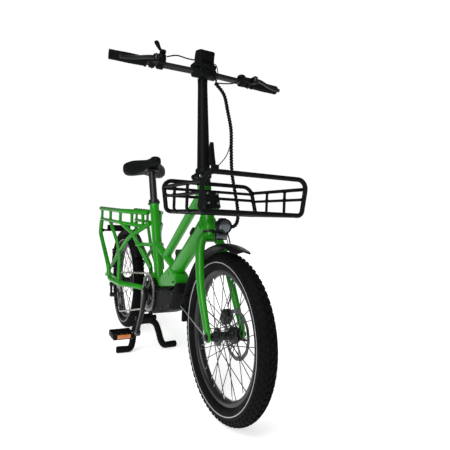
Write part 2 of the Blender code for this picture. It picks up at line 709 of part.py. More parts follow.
def basket_hoop(front):
    """Upright hoop at the front or the rear; the rear one has two cross bars."""
    half = BASKET_HALF_WIDTH
    pieces = [hoop_bar(front)]
    if not front:
        for z in (BASKET_MID_Z + 0.003, BASKET_RAIL_Z - 0.004):
            x = hoop_x(z, False)
            pieces.append(cylinder((x, -half, z), (x, half, z), 0.0050, sides=8))
    return weld(*pieces)


def basket_side(sign):
    """Two side rails and two short posts."""
    y = sign * BASKET_HALF_WIDTH
    pieces = []
    for z, radius in ((BASKET_RAIL_Z, 0.0055), (BASKET_MID_Z, 0.0045)):
        pieces.append(cylinder((hoop_x(z, False), y, z), (hoop_x(z, True), y, z), radius, sides=8))
    for x in (1.138, 1.238):
        pieces.append(cylinder((x, y, BASKET_FLOOR_Z + 0.0078), (x, y, BASKET_RAIL_Z), 0.0045, sides=8))
    return cut(weld(*pieces), hoop_bar(False, GAP), hoop_bar(True, GAP))


def basket_bracket():
    """Block that bolts the rack to the front of the head tube."""
    tilt = HEAD_ANGLE - math.pi / 2 - 0.08
    block = box((1.0440, 0.0, 0.6810), (0.030, 0.058, 0.064), tilt=tilt, bevel=0.003)
    hollow = cylinder(steer(0.0), steer(HEAD_LENGTH), 0.0250, sides=20)
    bars = [cylinder((hoop_x(z, False), -0.05, z), (hoop_x(z, False), 0.05, z), 0.0056, sides=10)
            for z in (BASKET_MID_Z + 0.003, BASKET_RAIL_Z - 0.004)]
    return cut(block, hollow, *bars)


# ---- handlepost and controls --------------------------------------------------------------------
POST_FOOT = Vector((0.9790, 0.0, 0.7830))
POST_TOP = Vector((0.9400, 0.0, 1.1180))


def handlepost():
    """Tapered post with its hinge collar at the foot and the bar clamp at the top."""
    collar = cylinder((0.9820, 0.0, 0.7660), (0.9770, 0.0, 0.7960), 0.0290, sides=20)
    post = cylinder(POST_FOOT, POST_TOP, 0.0240, 0.0165, sides=20)
    clamp = disc(0.0200, -0.0440, 0.0400, BAR_CENTRE, sides=18)
    hinge = cylinder((0.9460, -0.0240, 0.7650), (1.0100, -0.0240, 0.7650), 0.0084, sides=12)
    ear = box((1.0140, 0.0010, 0.7860), (0.0300, 0.0070, 0.0160))
    body = weld(post, collar, clamp, ear)
    base_room = cylinder(steer(HEAD_LENGTH - 0.02), steer(HEAD_LENGTH + 0.0246), 0.0400, sides=20)
    bar_bore = disc(0.0130, -0.05, 0.05, BAR_CENTRE, sides=16)
    return cut(body, base_room, hinge, bar_bore)


def latch_lever():
    """Lever that stands along the front left of the post and locks the fold."""
    pivot = cylinder((1.0200, 0.0050, 0.7860), (1.0200, 0.0400, 0.7860), 0.0070, sides=10)
    root = box((1.0235, 0.0225, 0.7990), (0.0110, 0.0300, 0.0240))
    blade = cylinder((1.0200, 0.0165, 0.8070), (1.0060, 0.0160, 0.8850), 0.0150, 0.0060, sides=10)
    return weld(pivot, root, blade)


def display_head():
    """Cap block above the bar that ends in the display."""
    outline = [(0.932, 1.1610), (0.974, 1.1600), (0.970, 1.1850), (0.976, 1.2120), (0.930, 1.2220),
               (0.920, 1.1900)]
    return plate(outline, -0.0300, 0.0320)


BAR_HALF = 0.2100
GRIP_END_Y = 0.3290


def bar_point(y):
    """Centre of the handlebar at y: it sweeps back and rises towards its ends."""
    reach = max(abs(y) - 0.05, 0.0) / (GRIP_END_Y - 0.05)
    return BAR_CENTRE + Vector((-0.033 * reach, y, 0.008 * reach))


def handlebar():
    """Bar through the post's clamp, and through both grips."""
    path = [bar_point(y) for y in (-GRIP_END_Y + 0.004, -0.12, -0.05, 0.05, 0.12, GRIP_END_Y - 0.004)]
    return tube(path, 0.0110, sides=12)


def grip(sign):
    """Rubber grip on the bar's end."""
    sleeve = cylinder(bar_point(sign * 0.215), bar_point(sign * GRIP_END_Y), 0.0168, sides=16)
    bore = cylinder(bar_point(sign * 0.190), bar_point(sign * (GRIP_END_Y - 0.003)), 0.0114, sides=12)
    return cut(sleeve, bore)


def control_clamps(sign):
    """Brake body and its neighbour on one side, clamped to the bar."""
    inner, outer = bar_point(sign * 0.150), bar_point(sign * 0.205)
    sleeve = cylinder(inner, outer, 0.0170, sides=14)
    barrel = cylinder(bar_point(sign * 0.152) + Vector((0.026, 0, 0.002)),
                      bar_point(sign * 0.200) + Vector((0.034, 0, 0.0)), 0.0100, sides=10)
    if sign < 0:
        foot = bar_point(-0.156)
        pod = cylinder(foot + Vector((0.002, 0, 0.008)), foot + Vector((0.006, 0, 0.034)), 0.0150, 0.0120, sides=14)
    else:
        foot = bar_point(0.160)
        pod = cylinder(foot + Vector((0, 0, 0.008)), foot + Vector((0, 0, 0.026)), 0.0170, 0.0150, sides=14)
    bore = cylinder(bar_point(sign * 0.10), bar_point(sign * 0.25), 0.0114, sides=12)
    return cut(weld(sleeve, barrel, pod), bore)


def lever_pivot(sign):
    """Pivot of a brake lever blade."""
    return bar_point(sign * 0.190) + Vector((0.0560, 0, -0.002))


def brake_lever(sign):
    """Lever blade in front of the grip."""
    pivot = lever_pivot(sign)
    eye = cylinder(pivot + Vector((0, 0, -0.008)), pivot + Vector((0, 0, 0.008)), 0.0080, sides=12)
    steps = [(0, 0, 0), (0, 0.028, -0.004), (-0.010, 0.065, -0.009), (-0.014, 0.110, -0.014)]
    path = [pivot + Vector(side_of(step, sign)) for step in steps]
    return weld(eye, tube(path, 0.0055, sides=8))


SHIFT_PIVOT = Vector((0.953, -0.156, 1.1780))


def shift_lever():
    """Thumb lever on top of the shifter pod."""
    low, high = SHIFT_PIVOT + Vector((-0.001, 0, -0.0030)), SHIFT_PIVOT + Vector((0.001, 0, 0.0060))
    base = cylinder(low, high, 0.0110, sides=12)
    blade = tube([SHIFT_PIVOT, SHIFT_PIVOT + Vector((-0.006, -0.010, 0.012)),
                  SHIFT_PIVOT + Vector((-0.012, -0.020, 0.034))], 0.0050, sides=8)
    return weld(base, blade)


# ---- cables -------------------------------------------------------------------------------------
CABLE_BUNDLE = [(0.972, 0.036, 1.105), (0.985, 0.066, 1.064), (0.995, 0.079, 1.003), (1.000, 0.092, 0.940),
                (1.000, 0.096, 0.869), (1.000, 0.102, 0.791), (1.004, 0.116, 0.718), (1.010, 0.122, 0.679),
                (1.022, 0.122, 0.632), (1.032, 0.106, 0.600), (1.030, 0.070, 0.590), (1.012, 0.052, 0.585),
                (0.995, 0.038, 0.580)]
SHIFT_CABLE = [(0.953, -0.1410, 1.166), (0.950, -0.105, 1.179), (0.952, -0.067, 1.176), (0.975, -0.038, 1.166),
               (0.992, -0.004, 1.148), (0.992, 0.020, 1.132), (0.984, 0.030, 1.122)]
LEFT_HOSE = [(0.972, 0.147, 1.137), (0.980, 0.130, 1.128), (0.984, 0.100, 1.112), (0.982, 0.070, 1.106),
             (0.980, 0.052, 1.108)]


def cable(points, radius, sides=6):
    """A held cable along its route."""
    return tube(rounded(points, 0.02, steps=1), radius, sides=sides)


# ---- seat ---------------------------------------------------------------------------------------
POST_HEAD = SEAT_TOP + SEAT_AXIS * 0.150


def seatpost():
    """Post in the seat tube with the saddle clamp on top."""
    post = cylinder(SEAT_TOP - SEAT_AXIS * 0.160, POST_HEAD, 0.0155, sides=16)
    head = box(POST_HEAD + Vector((-0.006, 0, 0.004)), (0.040, 0.044, 0.020), bevel=0.003)
    return weld(post, head)


def saddle():
    """Wide padded saddle on two rails, as one plain solid."""
    top_z = 0.8980
    rows = [(0.462, 0.026, 0.004, 0.038), (0.435, 0.033, 0.006, 0.049), (0.390, 0.037, 0.000, 0.054),
            (0.340, 0.070, -0.003, 0.068), (0.285, 0.106, 0.000, 0.087), (0.235, 0.116, 0.003, 0.092),
            (0.203, 0.098, 0.004, 0.068)]
    section = [(0.0, 0.0), (0.55, -0.04), (0.88, -0.26), (1.0, -0.72), (0.90, -1.0), (0.45, -0.50),
               (0.0, -0.46)]
    loop = section + [(-y, z) for y, z in reversed(section[1:-1])]
    verts = [(x, y * half, top_z + lift + z * depth) for x, half, lift, depth in rows for y, z in loop]
    width = len(loop)
    faces = []
    for i in range(len(rows) - 1):
        this, after = i * width, (i + 1) * width
        faces += [(this + j, after + j, after + (j + 1) % width, this + (j + 1) % width) for j in range(width)]
    faces.append(tuple(range(width)))
    faces.append(tuple(reversed(range((len(rows) - 1) * width, len(rows) * width))))
    mesh = bpy.data.meshes.new("saddle")
    mesh.from_pydata(verts, [], faces)
    pad = link("saddle_pad", mesh)
    work = bmesh.new()
    work.from_mesh(mesh)
    bmesh.ops.recalc_face_normals(work, faces=work.faces)
    work.to_mesh(mesh)
    work.free()
    rails = []
    for sign in (-1, 1):
        rail = [(0.425, 0.012, 0.870), (0.390, 0.0260, 0.8510), (0.300, 0.0260, 0.8510), (0.235, 0.034, 0.868)]
        rails.append(tube([side_of(p, sign) for p in rail], 0.0036, sides=6))
    return weld(pad, *rails)


# ---- assembly -----------------------------------------------------------------------------------
def pivots():
    """Where each joint's empty stands, and the empty it hangs from."""
    reach = CRANK_REACH
    return {
        "steering": (HEAD_BOTTOM, "bicycle"),
        "handlepost_hinge": (Vector((0.978, -0.0240, 0.7650)), "steering"),
        "latch_pivot": (Vector((1.0200, 0.0230, 0.7860)), "handlepost_hinge"),
        "brake_pivot_right": (lever_pivot(-1), "handlepost_hinge"),
        "brake_pivot_left": (lever_pivot(1), "handlepost_hinge"),
        "shift_pivot": (SHIFT_PIVOT, "handlepost_hinge"),
        "front_axle_line": (FRONT_AXLE, "steering"),
        "rear_axle_line": (REAR_AXLE, "bicycle"),
        "crank_line": (BOTTOM_BRACKET, "bicycle"),
        "pedal_line_right": (BOTTOM_BRACKET + reach, "crank_line"),
        "pedal_line_left": (BOTTOM_BRACKET - reach, "crank_line"),
        "cage_pivot": (Vector((PULLEY_HIGH.x, 0, PULLEY_HIGH.z)), "bicycle"),
        "seat_slide": (SEAT_TOP, "bicycle"),
        "seat_lever_pivot": (Vector((0.392, 0.0172, 0.6865)), "bicycle"),
        "stand_pivot": (STAND_PIVOT, "bicycle"),
    }


def sub_parts():
    """Every sub-part as (name, finish, parent empty, solid)."""
    yield "main_frame", "green", "bicycle", main_frame()
    for side, sign in (("right", -1), ("left", 1)):
        yield "rack_side_" + side, "green", "bicycle", rack_side(sign)
        yield "outer_loop_" + side, "green", "bicycle", outer_loop(sign)
        yield "rear_truss_" + side, "green", "bicycle", rear_truss(sign)
        yield "chainstay_" + side, "green", "bicycle", chainstay(sign)
        yield "basket_side_" + side, "black", "bicycle", basket_side(sign)
    yield "seat_tube_bridge", "green", "bicycle", seat_tube_bridge()
    yield "rack_crossbar", "green", "bicycle", rack_crossbar(-0.090)
    yield "seat_clamp", "black", "bicycle", seat_clamp()
    yield "seat_clamp_lever", "black", "seat_lever_pivot", seat_clamp_lever()
    yield "motor", "plastic", "bicycle", motor()
    yield "kickstand_bracket", "black", "bicycle", kickstand_bracket()
    yield "kickstand", "black", "stand_pivot", kickstand()
    yield "rear_mudguard", "plastic", "bicycle", rear_mudguard()
    yield "tail_light", "red", "bicycle", tail_light()
    yield "rear_caliper", "black", "bicycle", caliper(Vector((0.0540, 0.0490, 0.3240)), REAR_AXLE, 0.0480)
    yield "derailleur_body", "black", "bicycle", derailleur_body()
    yield "derailleur_cage", "black", "cage_pivot", derailleur_cage()
    yield "chain", "steel", "bicycle", chain()
    yield "cassette", "steel", "rear_axle_line", cassette()
    yield "crank_right", "black", "crank_line", crank_right()
    yield "crank_left", "black", "crank_line", crank_left()
    yield "pedal_right", "plastic", "pedal_line_right", pedal(-1)
    yield "pedal_left", "plastic", "pedal_line_left", pedal(1)
    yield "basket_base", "black", "bicycle", basket_base()
    yield "basket_front_hoop", "black", "bicycle", basket_hoop(True)
    yield "basket_rear_hoop", "black", "bicycle", basket_hoop(False)
    yield "basket_bracket", "black", "bicycle", basket_bracket()
    yield "fork", "green", "steering", fork()
    yield "front_mudguard", "plastic", "steering", front_mudguard()
    yield "headlamp", "lens", "steering", headlamp()
    yield "front_caliper", "black", "steering", caliper(Vector((1.1160, 0.0440, 0.3010)), FRONT_AXLE, 0.0400)
    yield "stem_base", "black", "steering", stem_base()
    yield "handlepost", "black", "handlepost_hinge", handlepost()
    yield "display_head", "plastic", "handlepost_hinge", display_head()
    yield "handlebar", "black", "handlepost_hinge", handlebar()
    for side, sign in (("right", -1), ("left", 1)):
        yield "grip_" + side, "rubber", "handlepost_hinge", grip(sign)
        yield "controls_" + side, "plastic", "handlepost_hinge", control_clamps(sign)
        yield "brake_lever_" + side, "black", "brake_pivot_" + side, brake_lever(sign)
    yield "shift_lever", "plastic", "shift_pivot", shift_lever()
    yield "latch_lever", "black", "latch_pivot", latch_lever()
    yield "shift_cable", "plastic", "handlepost_hinge", cable(SHIFT_CABLE, 0.0022)
    yield "left_hose", "plastic", "handlepost_hinge", cable(LEFT_HOSE, 0.0022)
    yield "cable_bundle", "plastic", "bicycle", cable(CABLE_BUNDLE, 0.0055)
    yield "seatpost", "black", "seat_slide", seatpost()
    yield "saddle", "leather", "seat_slide", saddle()
    axles = (("front", FRONT_AXLE, "front_axle_line"), ("rear", REAR_AXLE, "rear_axle_line"))
    for side, centre, parent in axles:
        yield side + "_tyre", "rubber", parent, tyre(centre)
        yield side + "_rim", "black", parent, rim(centre)
    yield "front_hub", "black", "front_axle_line", hub(FRONT_AXLE, 0.026, 0.016, 0.0490, 0.0400, 0.080)
    yield "rear_hub", "black", "rear_axle_line", hub(REAR_AXLE, 0.026, 0.018, 0.0660, 0.0480, 0.080, 0.0360)


def assemble():
    """Build every sub-part and hang it from its joint's empty."""
    clear_scene()
    collection = new_collection("cargo_bicycle")
    empties = {"bicycle": link("bicycle", None)}
    places = {"bicycle": Vector((0.0, 0.0, 0.0))}
    empties["bicycle"].location = (REAR_AXLE_X, 0.0, 0.0)
    for name, (place, parent) in pivots().items():
        empties[name] = link(name, None)
        empties[name].parent = empties[parent]
        empties[name].location = place - places[parent]
        places[name] = place
    for name, finish, parent, piece in sub_parts():
        for old in list(piece.users_collection):
            old.objects.unlink(piece)
        collection.objects.link(piece)
        piece.name = name
        piece.data.name = name
        piece.data.transform(Matrix.Translation(-places[parent]))
        piece.parent = empties[parent]
        piece.data.materials.clear()
        piece.data.materials.append(material(name, finish))
        piece.data.shade_smooth()
        piece.data.set_sharp_from_angle(angle=math.radians(35))


assemble()
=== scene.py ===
"""Looks of a compact longtail cargo bicycle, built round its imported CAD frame.

Every mesh is worked out in a working frame with x = 0 at the rear axle, the ground at z = 0 and y to the
rider's left. Patch.build moves it into the row frame by the rear axle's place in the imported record.
"""
from __future__ import annotations

import json
import logging
import math
from dataclasses import dataclass, field
from enum import Enum
from typing import Any, Callable, Iterable, Sequence

import bpy
import numpy as np
from mathutils import Matrix, Vector
from mathutils.bvhtree import BVHTree


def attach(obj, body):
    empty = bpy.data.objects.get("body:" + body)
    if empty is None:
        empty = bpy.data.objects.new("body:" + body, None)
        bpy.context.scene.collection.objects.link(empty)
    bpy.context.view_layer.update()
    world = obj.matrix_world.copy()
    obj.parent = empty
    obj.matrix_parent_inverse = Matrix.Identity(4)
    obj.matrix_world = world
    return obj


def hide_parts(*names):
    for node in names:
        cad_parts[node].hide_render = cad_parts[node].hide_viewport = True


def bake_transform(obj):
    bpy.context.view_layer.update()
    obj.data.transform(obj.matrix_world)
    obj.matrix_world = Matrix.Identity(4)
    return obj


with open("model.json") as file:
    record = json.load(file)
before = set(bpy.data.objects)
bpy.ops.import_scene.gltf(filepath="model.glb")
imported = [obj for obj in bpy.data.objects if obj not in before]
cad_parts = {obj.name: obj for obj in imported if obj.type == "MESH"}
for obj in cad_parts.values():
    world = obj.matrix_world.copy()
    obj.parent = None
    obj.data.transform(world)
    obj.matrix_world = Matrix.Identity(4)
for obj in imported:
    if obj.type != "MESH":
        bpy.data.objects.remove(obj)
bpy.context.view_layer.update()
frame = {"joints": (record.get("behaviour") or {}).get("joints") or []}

LOG = logging.getLogger("cargo_bicycle")
Array = np.ndarray
Point = Sequence[float]
JOINTS: dict[str, dict[str, Any]] = {joint["name"]: joint for joint in frame["joints"]}
SHIFT_X: float = JOINTS["rear_wheel_spin"]["pos_m"][0]


def joint_place(name: str) -> Array:
    """Place of a joint in the working frame."""
    return np.array(JOINTS[name]["pos_m"], float) - (SHIFT_X, 0.0, 0.0)


FRONT_AXLE = joint_place("front_wheel_spin")
REAR_AXLE = joint_place("rear_wheel_spin")
BOTTOM_BRACKET = joint_place("crank_spin")
HEAD_BOTTOM = joint_place("steering")
STEER_AXIS = np.array(JOINTS["steering"]["axis"], float)
STEER_FORWARD = np.array([STEER_AXIS[2], 0.0, -STEER_AXIS[0]])
SEAT_AXIS = np.array(JOINTS["seatpost_slide"]["axis"], float)
X_AXIS, Y_AXIS, Z_AXIS = np.eye(3)


# ---- surfaces -----------------------------------------------------------------------------------
@dataclass(frozen=True)
class Bend:
    """Two bodies that a soft piece would bend between, and where; the piece is only baked in place.

    Attributes:
        first: The body that it follows before start. Not used.
        second: The body that it follows after end. Not used.
        start: A point in the working frame. Not used.
        end: Another one. Not used.
    """

    first: str
    second: str
    start: tuple[float, float, float]
    end: tuple[float, float, float]

    def apply(self, piece: bpy.types.Object) -> None:
        """Bakes the piece's transform into its mesh; it is not blended between the two bodies."""
        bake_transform(piece)


@dataclass
class Patch:
    """A surface held as arrays.

    Attributes:
        verts: Points, one row each.
        quads: Rows of four vertex numbers.
        tris: Rows of three vertex numbers.
        ngons: Flat faces with more corners.
    """

    verts: Array
    quads: Array = field(default_factory=lambda: np.zeros((0, 4), int))
    tris: Array = field(default_factory=lambda: np.zeros((0, 3), int))
    ngons: list[list[int]] = field(default_factory=list)

    @staticmethod
    def join(patches: Iterable[Patch]) -> Patch:
        """Several patches as one, their vertex numbers moved up in turn."""
        parts = list(patches)
        starts = np.cumsum([0] + [len(p.verts) for p in parts[:-1]])
        return Patch(
            np.concatenate([p.verts for p in parts]),
            np.concatenate([p.quads + s for p, s in zip(parts, starts)]),
            np.concatenate([p.tris + s for p, s in zip(parts, starts)]),
            [[i + int(s) for i in face] for p, s in zip(parts, starts) for face in p.ngons],
        )

    def volume(self) -> float:
        """Signed volume: a sixth of the sum of the triple products of every triangle's corners."""
        fans = [self.tris, self.quads[:, :3], self.quads[:, [0, 2, 3]]]
        fans += [np.array([[face[0], face[i], face[i + 1]] for i in range(1, len(face) - 1)])
                 for face in self.ngons]
        corners = self.verts[np.concatenate(fans)]
        return float(np.einsum("ij,ij->i", corners[:, 0], np.cross(corners[:, 1], corners[:, 2])).sum() / 6)

    def outward(self) -> Patch:
        """The same closed surface, with its faces turned out if they pointed in."""
        if self.volume() >= 0:
            return self
        return Patch(self.verts, self.quads[:, ::-1], self.tris[:, ::-1], [face[::-1] for face in self.ngons])

    def moved(self, offset: Point = (0, 0, 0), turn: Array | None = None, about: Point = (0, 0, 0)) -> Patch:
        """The patch turned about a point by a 3 by 3 matrix, and then shifted."""
        centre = np.asarray(about, float)
        verts = self.verts - centre
        if turn is not None:
            verts = verts @ turn.T
        return Patch(verts + centre + np.asarray(offset, float), self.quads, self.tris, self.ngons)

    def build(self, name: str, finish: Finish, body: str | Bend, replaces: Sequence[str] = (),
              crease: float = 38.0) -> bpy.types.Object:
        """Makes the object, dresses it and puts it on its body, or for a Bend bakes it in place.

        Args:
            name: The piece's name.
            finish: Its material.
            body: The CAD body that it rides on, or a Bend, which only bakes it in place.
            replaces: The CAD nodes that it stands for.
            crease: Edges sharper than this many degrees stay sharp.

        Returns:
            The new object, which sits at the origin with its place in its mesh.
        """
        mesh = bpy.data.meshes.new(name)
        faces = self.quads.tolist() + self.tris.tolist() + self.ngons
        mesh.from_pydata((self.verts + (SHIFT_X, 0.0, 0.0)).tolist(), [], faces)
        mesh.validate()
        mesh.shade_smooth()
        mesh.set_sharp_from_angle(angle=math.radians(crease))
        piece = bpy.data.objects.new(name, mesh)
        bpy.context.scene.collection.objects.link(piece)
        mesh.materials.append(finish.material())
        if isinstance(body, Bend):
            body.apply(piece)
        else:
            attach(piece, body)
        if replaces:
            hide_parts(*replaces)
        LOG.info("%s: %d faces on %s", name, len(faces), body)
        return piece


def grid(points: Array, wrap_u: bool = False, wrap_v: bool = True, caps: bool = True) -> Patch:
    """A patch from a grid of points.

    Args:
        points: Shape (u, v, 3).
        wrap_u: The last row joins the first.
        wrap_v: The last column joins the first.
        caps: Where the rows don't join up, the first and last row are closed with a fan.

    Returns:
        The patch, facing out where it is closed.
    """
    rows, columns = points.shape[:2]
    numbers = np.arange(rows * columns).reshape(rows, columns)
    if wrap_u:
        numbers = np.vstack([numbers, numbers[:1]])
    if wrap_v:
        numbers = np.hstack([numbers, numbers[:, :1]])
    quads = np.stack([numbers[:-1, :-1], numbers[1:, :-1], numbers[1:, 1:], numbers[:-1, 1:]],
                     -1).reshape(-1, 4)
    verts = points.reshape(-1, 3)
    tris = np.zeros((0, 3), int)
    if caps and wrap_v and not wrap_u:
        count = len(verts)
        verts = np.vstack([verts, points[0].mean(0), points[-1].mean(0)])
        first, last = numbers[0], numbers[-1]
        low = np.stack([np.full(columns, count), first[:-1], first[1:]], -1)
        high = np.stack([np.full(columns, count + 1), last[1:], last[:-1]], -1)
        tris = np.vstack([low, high])
    patch = Patch(verts, quads, tris)
    return patch.outward() if (caps or wrap_u) and wrap_v else patch


def full_turn(count: int) -> Array:
    """Evenly spaced angles over a whole turn, without its end."""
    return np.linspace(0, 2 * np.pi, count, endpoint=False)


def radial(turn: float) -> Array:
    """Unit vector in the X-Z plane at an angle up from straight ahead."""
    return np.array([math.cos(turn), 0, math.sin(turn)])


def taper(count: int, at: Sequence[float], values: Sequence[float]) -> Array:
    """Values given at some places from 0 to 1, filled in at count even steps."""
    return np.interp(np.linspace(0, 1, count), at, values)


def circle(sides: int) -> Array:
    """Unit circle: (cos, sin) of evenly spaced turns."""
    turns = full_turn(sides)
    return np.stack([np.cos(turns), np.sin(turns)], -1)


def superellipse(sides: int, power: float, wide: float = 1.0, deep: float = 1.0) -> Array:
    """A rounded box section: each of cos and sin raised to 2 / power, keeping its sign."""
    ring = circle(sides)
    return np.sign(ring) * np.abs(ring) ** (2 / power) * (wide, deep)


def basis(axis: Point, hint: Point = (0, 0, 1)) -> Array:
    """Turn whose third column lies along axis, and whose first is as near to hint as it can be."""
    along = np.asarray(axis, float) / np.linalg.norm(axis)
    side = np.asarray(hint, float) - np.dot(hint, along) * along
    if np.linalg.norm(side) < 1e-6:
        side = X_AXIS - np.dot(X_AXIS, along) * along
    side /= np.linalg.norm(side)
    return np.stack([side, np.cross(along, side), along], -1)


def rounded(points: Sequence[Point], radius: float, steps: int = 6, closed: bool = False) -> Array:
    """A polyline with each corner replaced by an arc of the given radius.

    The arc's middle lies on the bisector at radius / sin(half the corner's angle) from the corner.
    """
    path = [np.asarray(p, float) for p in points]
    count, out = len(path), []
    for i, corner in enumerate(path):
        if not closed and i in (0, count - 1):
            out.append(corner[None])
            continue
        back, ahead = path[i - 1] - corner, path[(i + 1) % count] - corner
        back, ahead = back / np.linalg.norm(back), ahead / np.linalg.norm(ahead)
        half = math.acos(float(np.clip(back @ ahead, -1, 1))) / 2
        if half > math.radians(88.5):
            out.append(corner[None])
            continue
        bisector = (back + ahead) / np.linalg.norm(back + ahead)
        middle = corner + bisector * radius / math.sin(half)
        start = corner + back * radius / math.tan(half) - middle
        sweep = math.pi - 2 * half
        other = (corner + ahead * radius / math.tan(half) - middle - start * math.cos(sweep)) / math.sin(sweep)
        turns = np.linspace(0, sweep, steps + 1)[:, None]
        out.append(middle + np.cos(turns) * start + np.sin(turns) * other)
    return np.concatenate(out)


def resampled(path: Array, count: int) -> Array:
    """Evenly spaced points along a polyline."""
    lengths = np.concatenate([[0], np.cumsum(np.linalg.norm(np.diff(path, axis=0), axis=1))])
    at = np.linspace(0, lengths[-1], count)
    return np.stack([np.interp(at, lengths, path[:, k]) for k in range(3)], -1)


def smooth_path(points: Sequence[Point], count: int = 60) -> Array:
    """A Catmull-Rom curve through the points, evenly resampled."""
    p = np.asarray(points, float)
    p = np.vstack([2 * p[0] - p[1], p, 2 * p[-1] - p[-2]])
    t = np.linspace(0, 1, 12, endpoint=False)[None, :, None]
    a, b, c, d = (p[k:len(p) - 3 + k, None] for k in range(4))
    curve = 0.5 * (2 * b + (c - a) * t + (2 * a - 5 * b + 4 * c - d) * t**2 + (3 * b - a - 3 * c + d) * t**3)
    return resampled(np.vstack([curve.reshape(-1, 3), p[-2]]), count)


def directions(path: Array, closed: bool, hint: Point = (0, 0, 1)) -> tuple[Array, Array]:
    """Tangents along a path, and a normal at each that turns as little as it can from the one before."""
    if closed:
        tangents = np.roll(path, -1, 0) - np.roll(path, 1, 0)
    else:
        tangents = np.gradient(path, axis=0)
    tangents /= np.linalg.norm(tangents, axis=1)[:, None]
    normals = np.empty_like(path)
    normal = basis(tangents[0], hint)[:, 0]
    for i, tangent in enumerate(tangents):
        normal = normal - (normal @ tangent) * tangent
        normal = normal / np.linalg.norm(normal)
        normals[i] = normal
    return tangents, normals


def tube(path: Array, radius: float | Array, sides: int = 24, section: Array | None = None,
         closed: bool = False,
         dome: float = 0.12, hint: Point = (0, 0, 1)) -> Patch:
    """A section carried along a path: centre + radius * (section x * normal + section y * binormal).

    Args:
        path: Points of the centre line.
        radius: One radius, or one for each point.
        sides: Corners of the round section.
        section: Another unit section to use instead of the circle.
        closed: The path joins up.
        dome: How far the ends bulge, as a part of the radius.
        hint: The direction that the section's own x axis keeps near to at the start.

    Returns:
        A closed patch.
    """
    path = np.asarray(path, float)
    radii = np.broadcast_to(np.asarray(radius, float), (len(path),)).copy()
    ring = circle(sides) if section is None else section
    if not closed:
        swell = np.radians([90, 60, 30])
        first, last = path[0] - path[1], path[-1] - path[-2]
        first, last = first / np.linalg.norm(first), last / np.linalg.norm(last)
        size = np.maximum(np.cos(swell) * 0.35 + 0.65, 0.0)[:, None]
        out = (np.sin(swell) * dome)[:, None]
        start = path[0] + first * out * radii[0]
        end = path[-1] + last * out[::-1] * radii[-1]
        tangents, normals = directions(np.vstack([start, path, end]), False, hint)
        tangents[:3], tangents[-3:] = -first, last
        radii = np.concatenate([size[:, 0] * radii[0], radii, size[::-1, 0] * radii[-1]])
        path = np.vstack([start, path, end])
    else:
        tangents, normals = directions(path, True, hint)
    binormals = np.cross(tangents, normals)
    spread = ring[None, :, 0, None] * normals[:, None] + ring[None, :, 1, None] * binormals[:, None]
    return grid(path[:, None] + spread * radii[:, None, None], wrap_u=closed)


def rod(start: Point, end: Point, radius: float, end_radius: float | None = None, sides: int = 24,
        section: Array | None = None, dome: float = 0.1, hint: Point = (0, 0, 1)) -> Patch:
    """A straight bar, which may taper."""
    last = radius if end_radius is None else end_radius
    t = np.linspace(0, 1, 9)[:, None]
    path = np.asarray(start, float) * (1 - t) + np.asarray(end, float) * t
    return tube(path, radius + (last - radius) * t[:, 0], sides, section, dome=dome, hint=hint)


def lathe(profile: Sequence[tuple[float, float]], centre: Point, axis: Point, steps: int = 48) -> Patch:
    """A profile of (radius, height) turned round an axis: centre + radius * (cos, sin) + height * axis.

    A profile that ends where it starts gives a ring; another is closed at both ends.
    """
    line = np.asarray(profile, float)
    ring = bool(np.allclose(line[0], line[-1]))
    line = line[:-1] if ring else line
    turn = basis(axis)
    flat = circle(steps)
    local = np.stack([line[:, None, 0] * flat[None, :, 0], line[:, None, 0] * flat[None, :, 1],
                      np.broadcast_to(line[:, None, 1], (len(line), steps))], -1)
    return grid(local @ turn.T + np.asarray(centre, float), wrap_u=ring)


def hoop(profile: list[tuple[float, float]], centre: Point, axis: Point, steps: int = 48) -> Patch:
    """A lathed ring: the profile joined to its own start."""
    return lathe(profile + profile[:1], centre, axis, steps)


def rounded_box(centre: Point, size: Point, radius: float, turn: Array | None = None,
                steps: int = 4) -> Patch:
    """A box with rounded edges: each sphere direction times radius, pushed out to its own corner of the box."""
    half = np.asarray(size, float) / 2 - radius
    quarter = np.linspace(0, np.pi / 2, steps)
    around = np.concatenate([quarter + k * np.pi / 2 for k in range(4)])
    sign_x = np.repeat([1, -1, -1, 1], steps)
    sign_y = np.repeat([1, 1, -1, -1], steps)
    rise = np.concatenate([quarter - np.pi / 2, quarter])
    sign_z = np.repeat([-1, 1], steps)
    local = np.stack([
        np.cos(rise)[:, None] * np.cos(around) * radius + sign_x * half[0],
        np.cos(rise)[:, None] * np.sin(around) * radius + sign_y * half[1],
        np.broadcast_to((np.sin(rise) * radius + sign_z * half[2])[:, None], (2 * steps, 4 * steps)),
    ], -1)
    patch = grid(local)
    return patch.moved(centre, turn if turn is not None else np.eye(3))


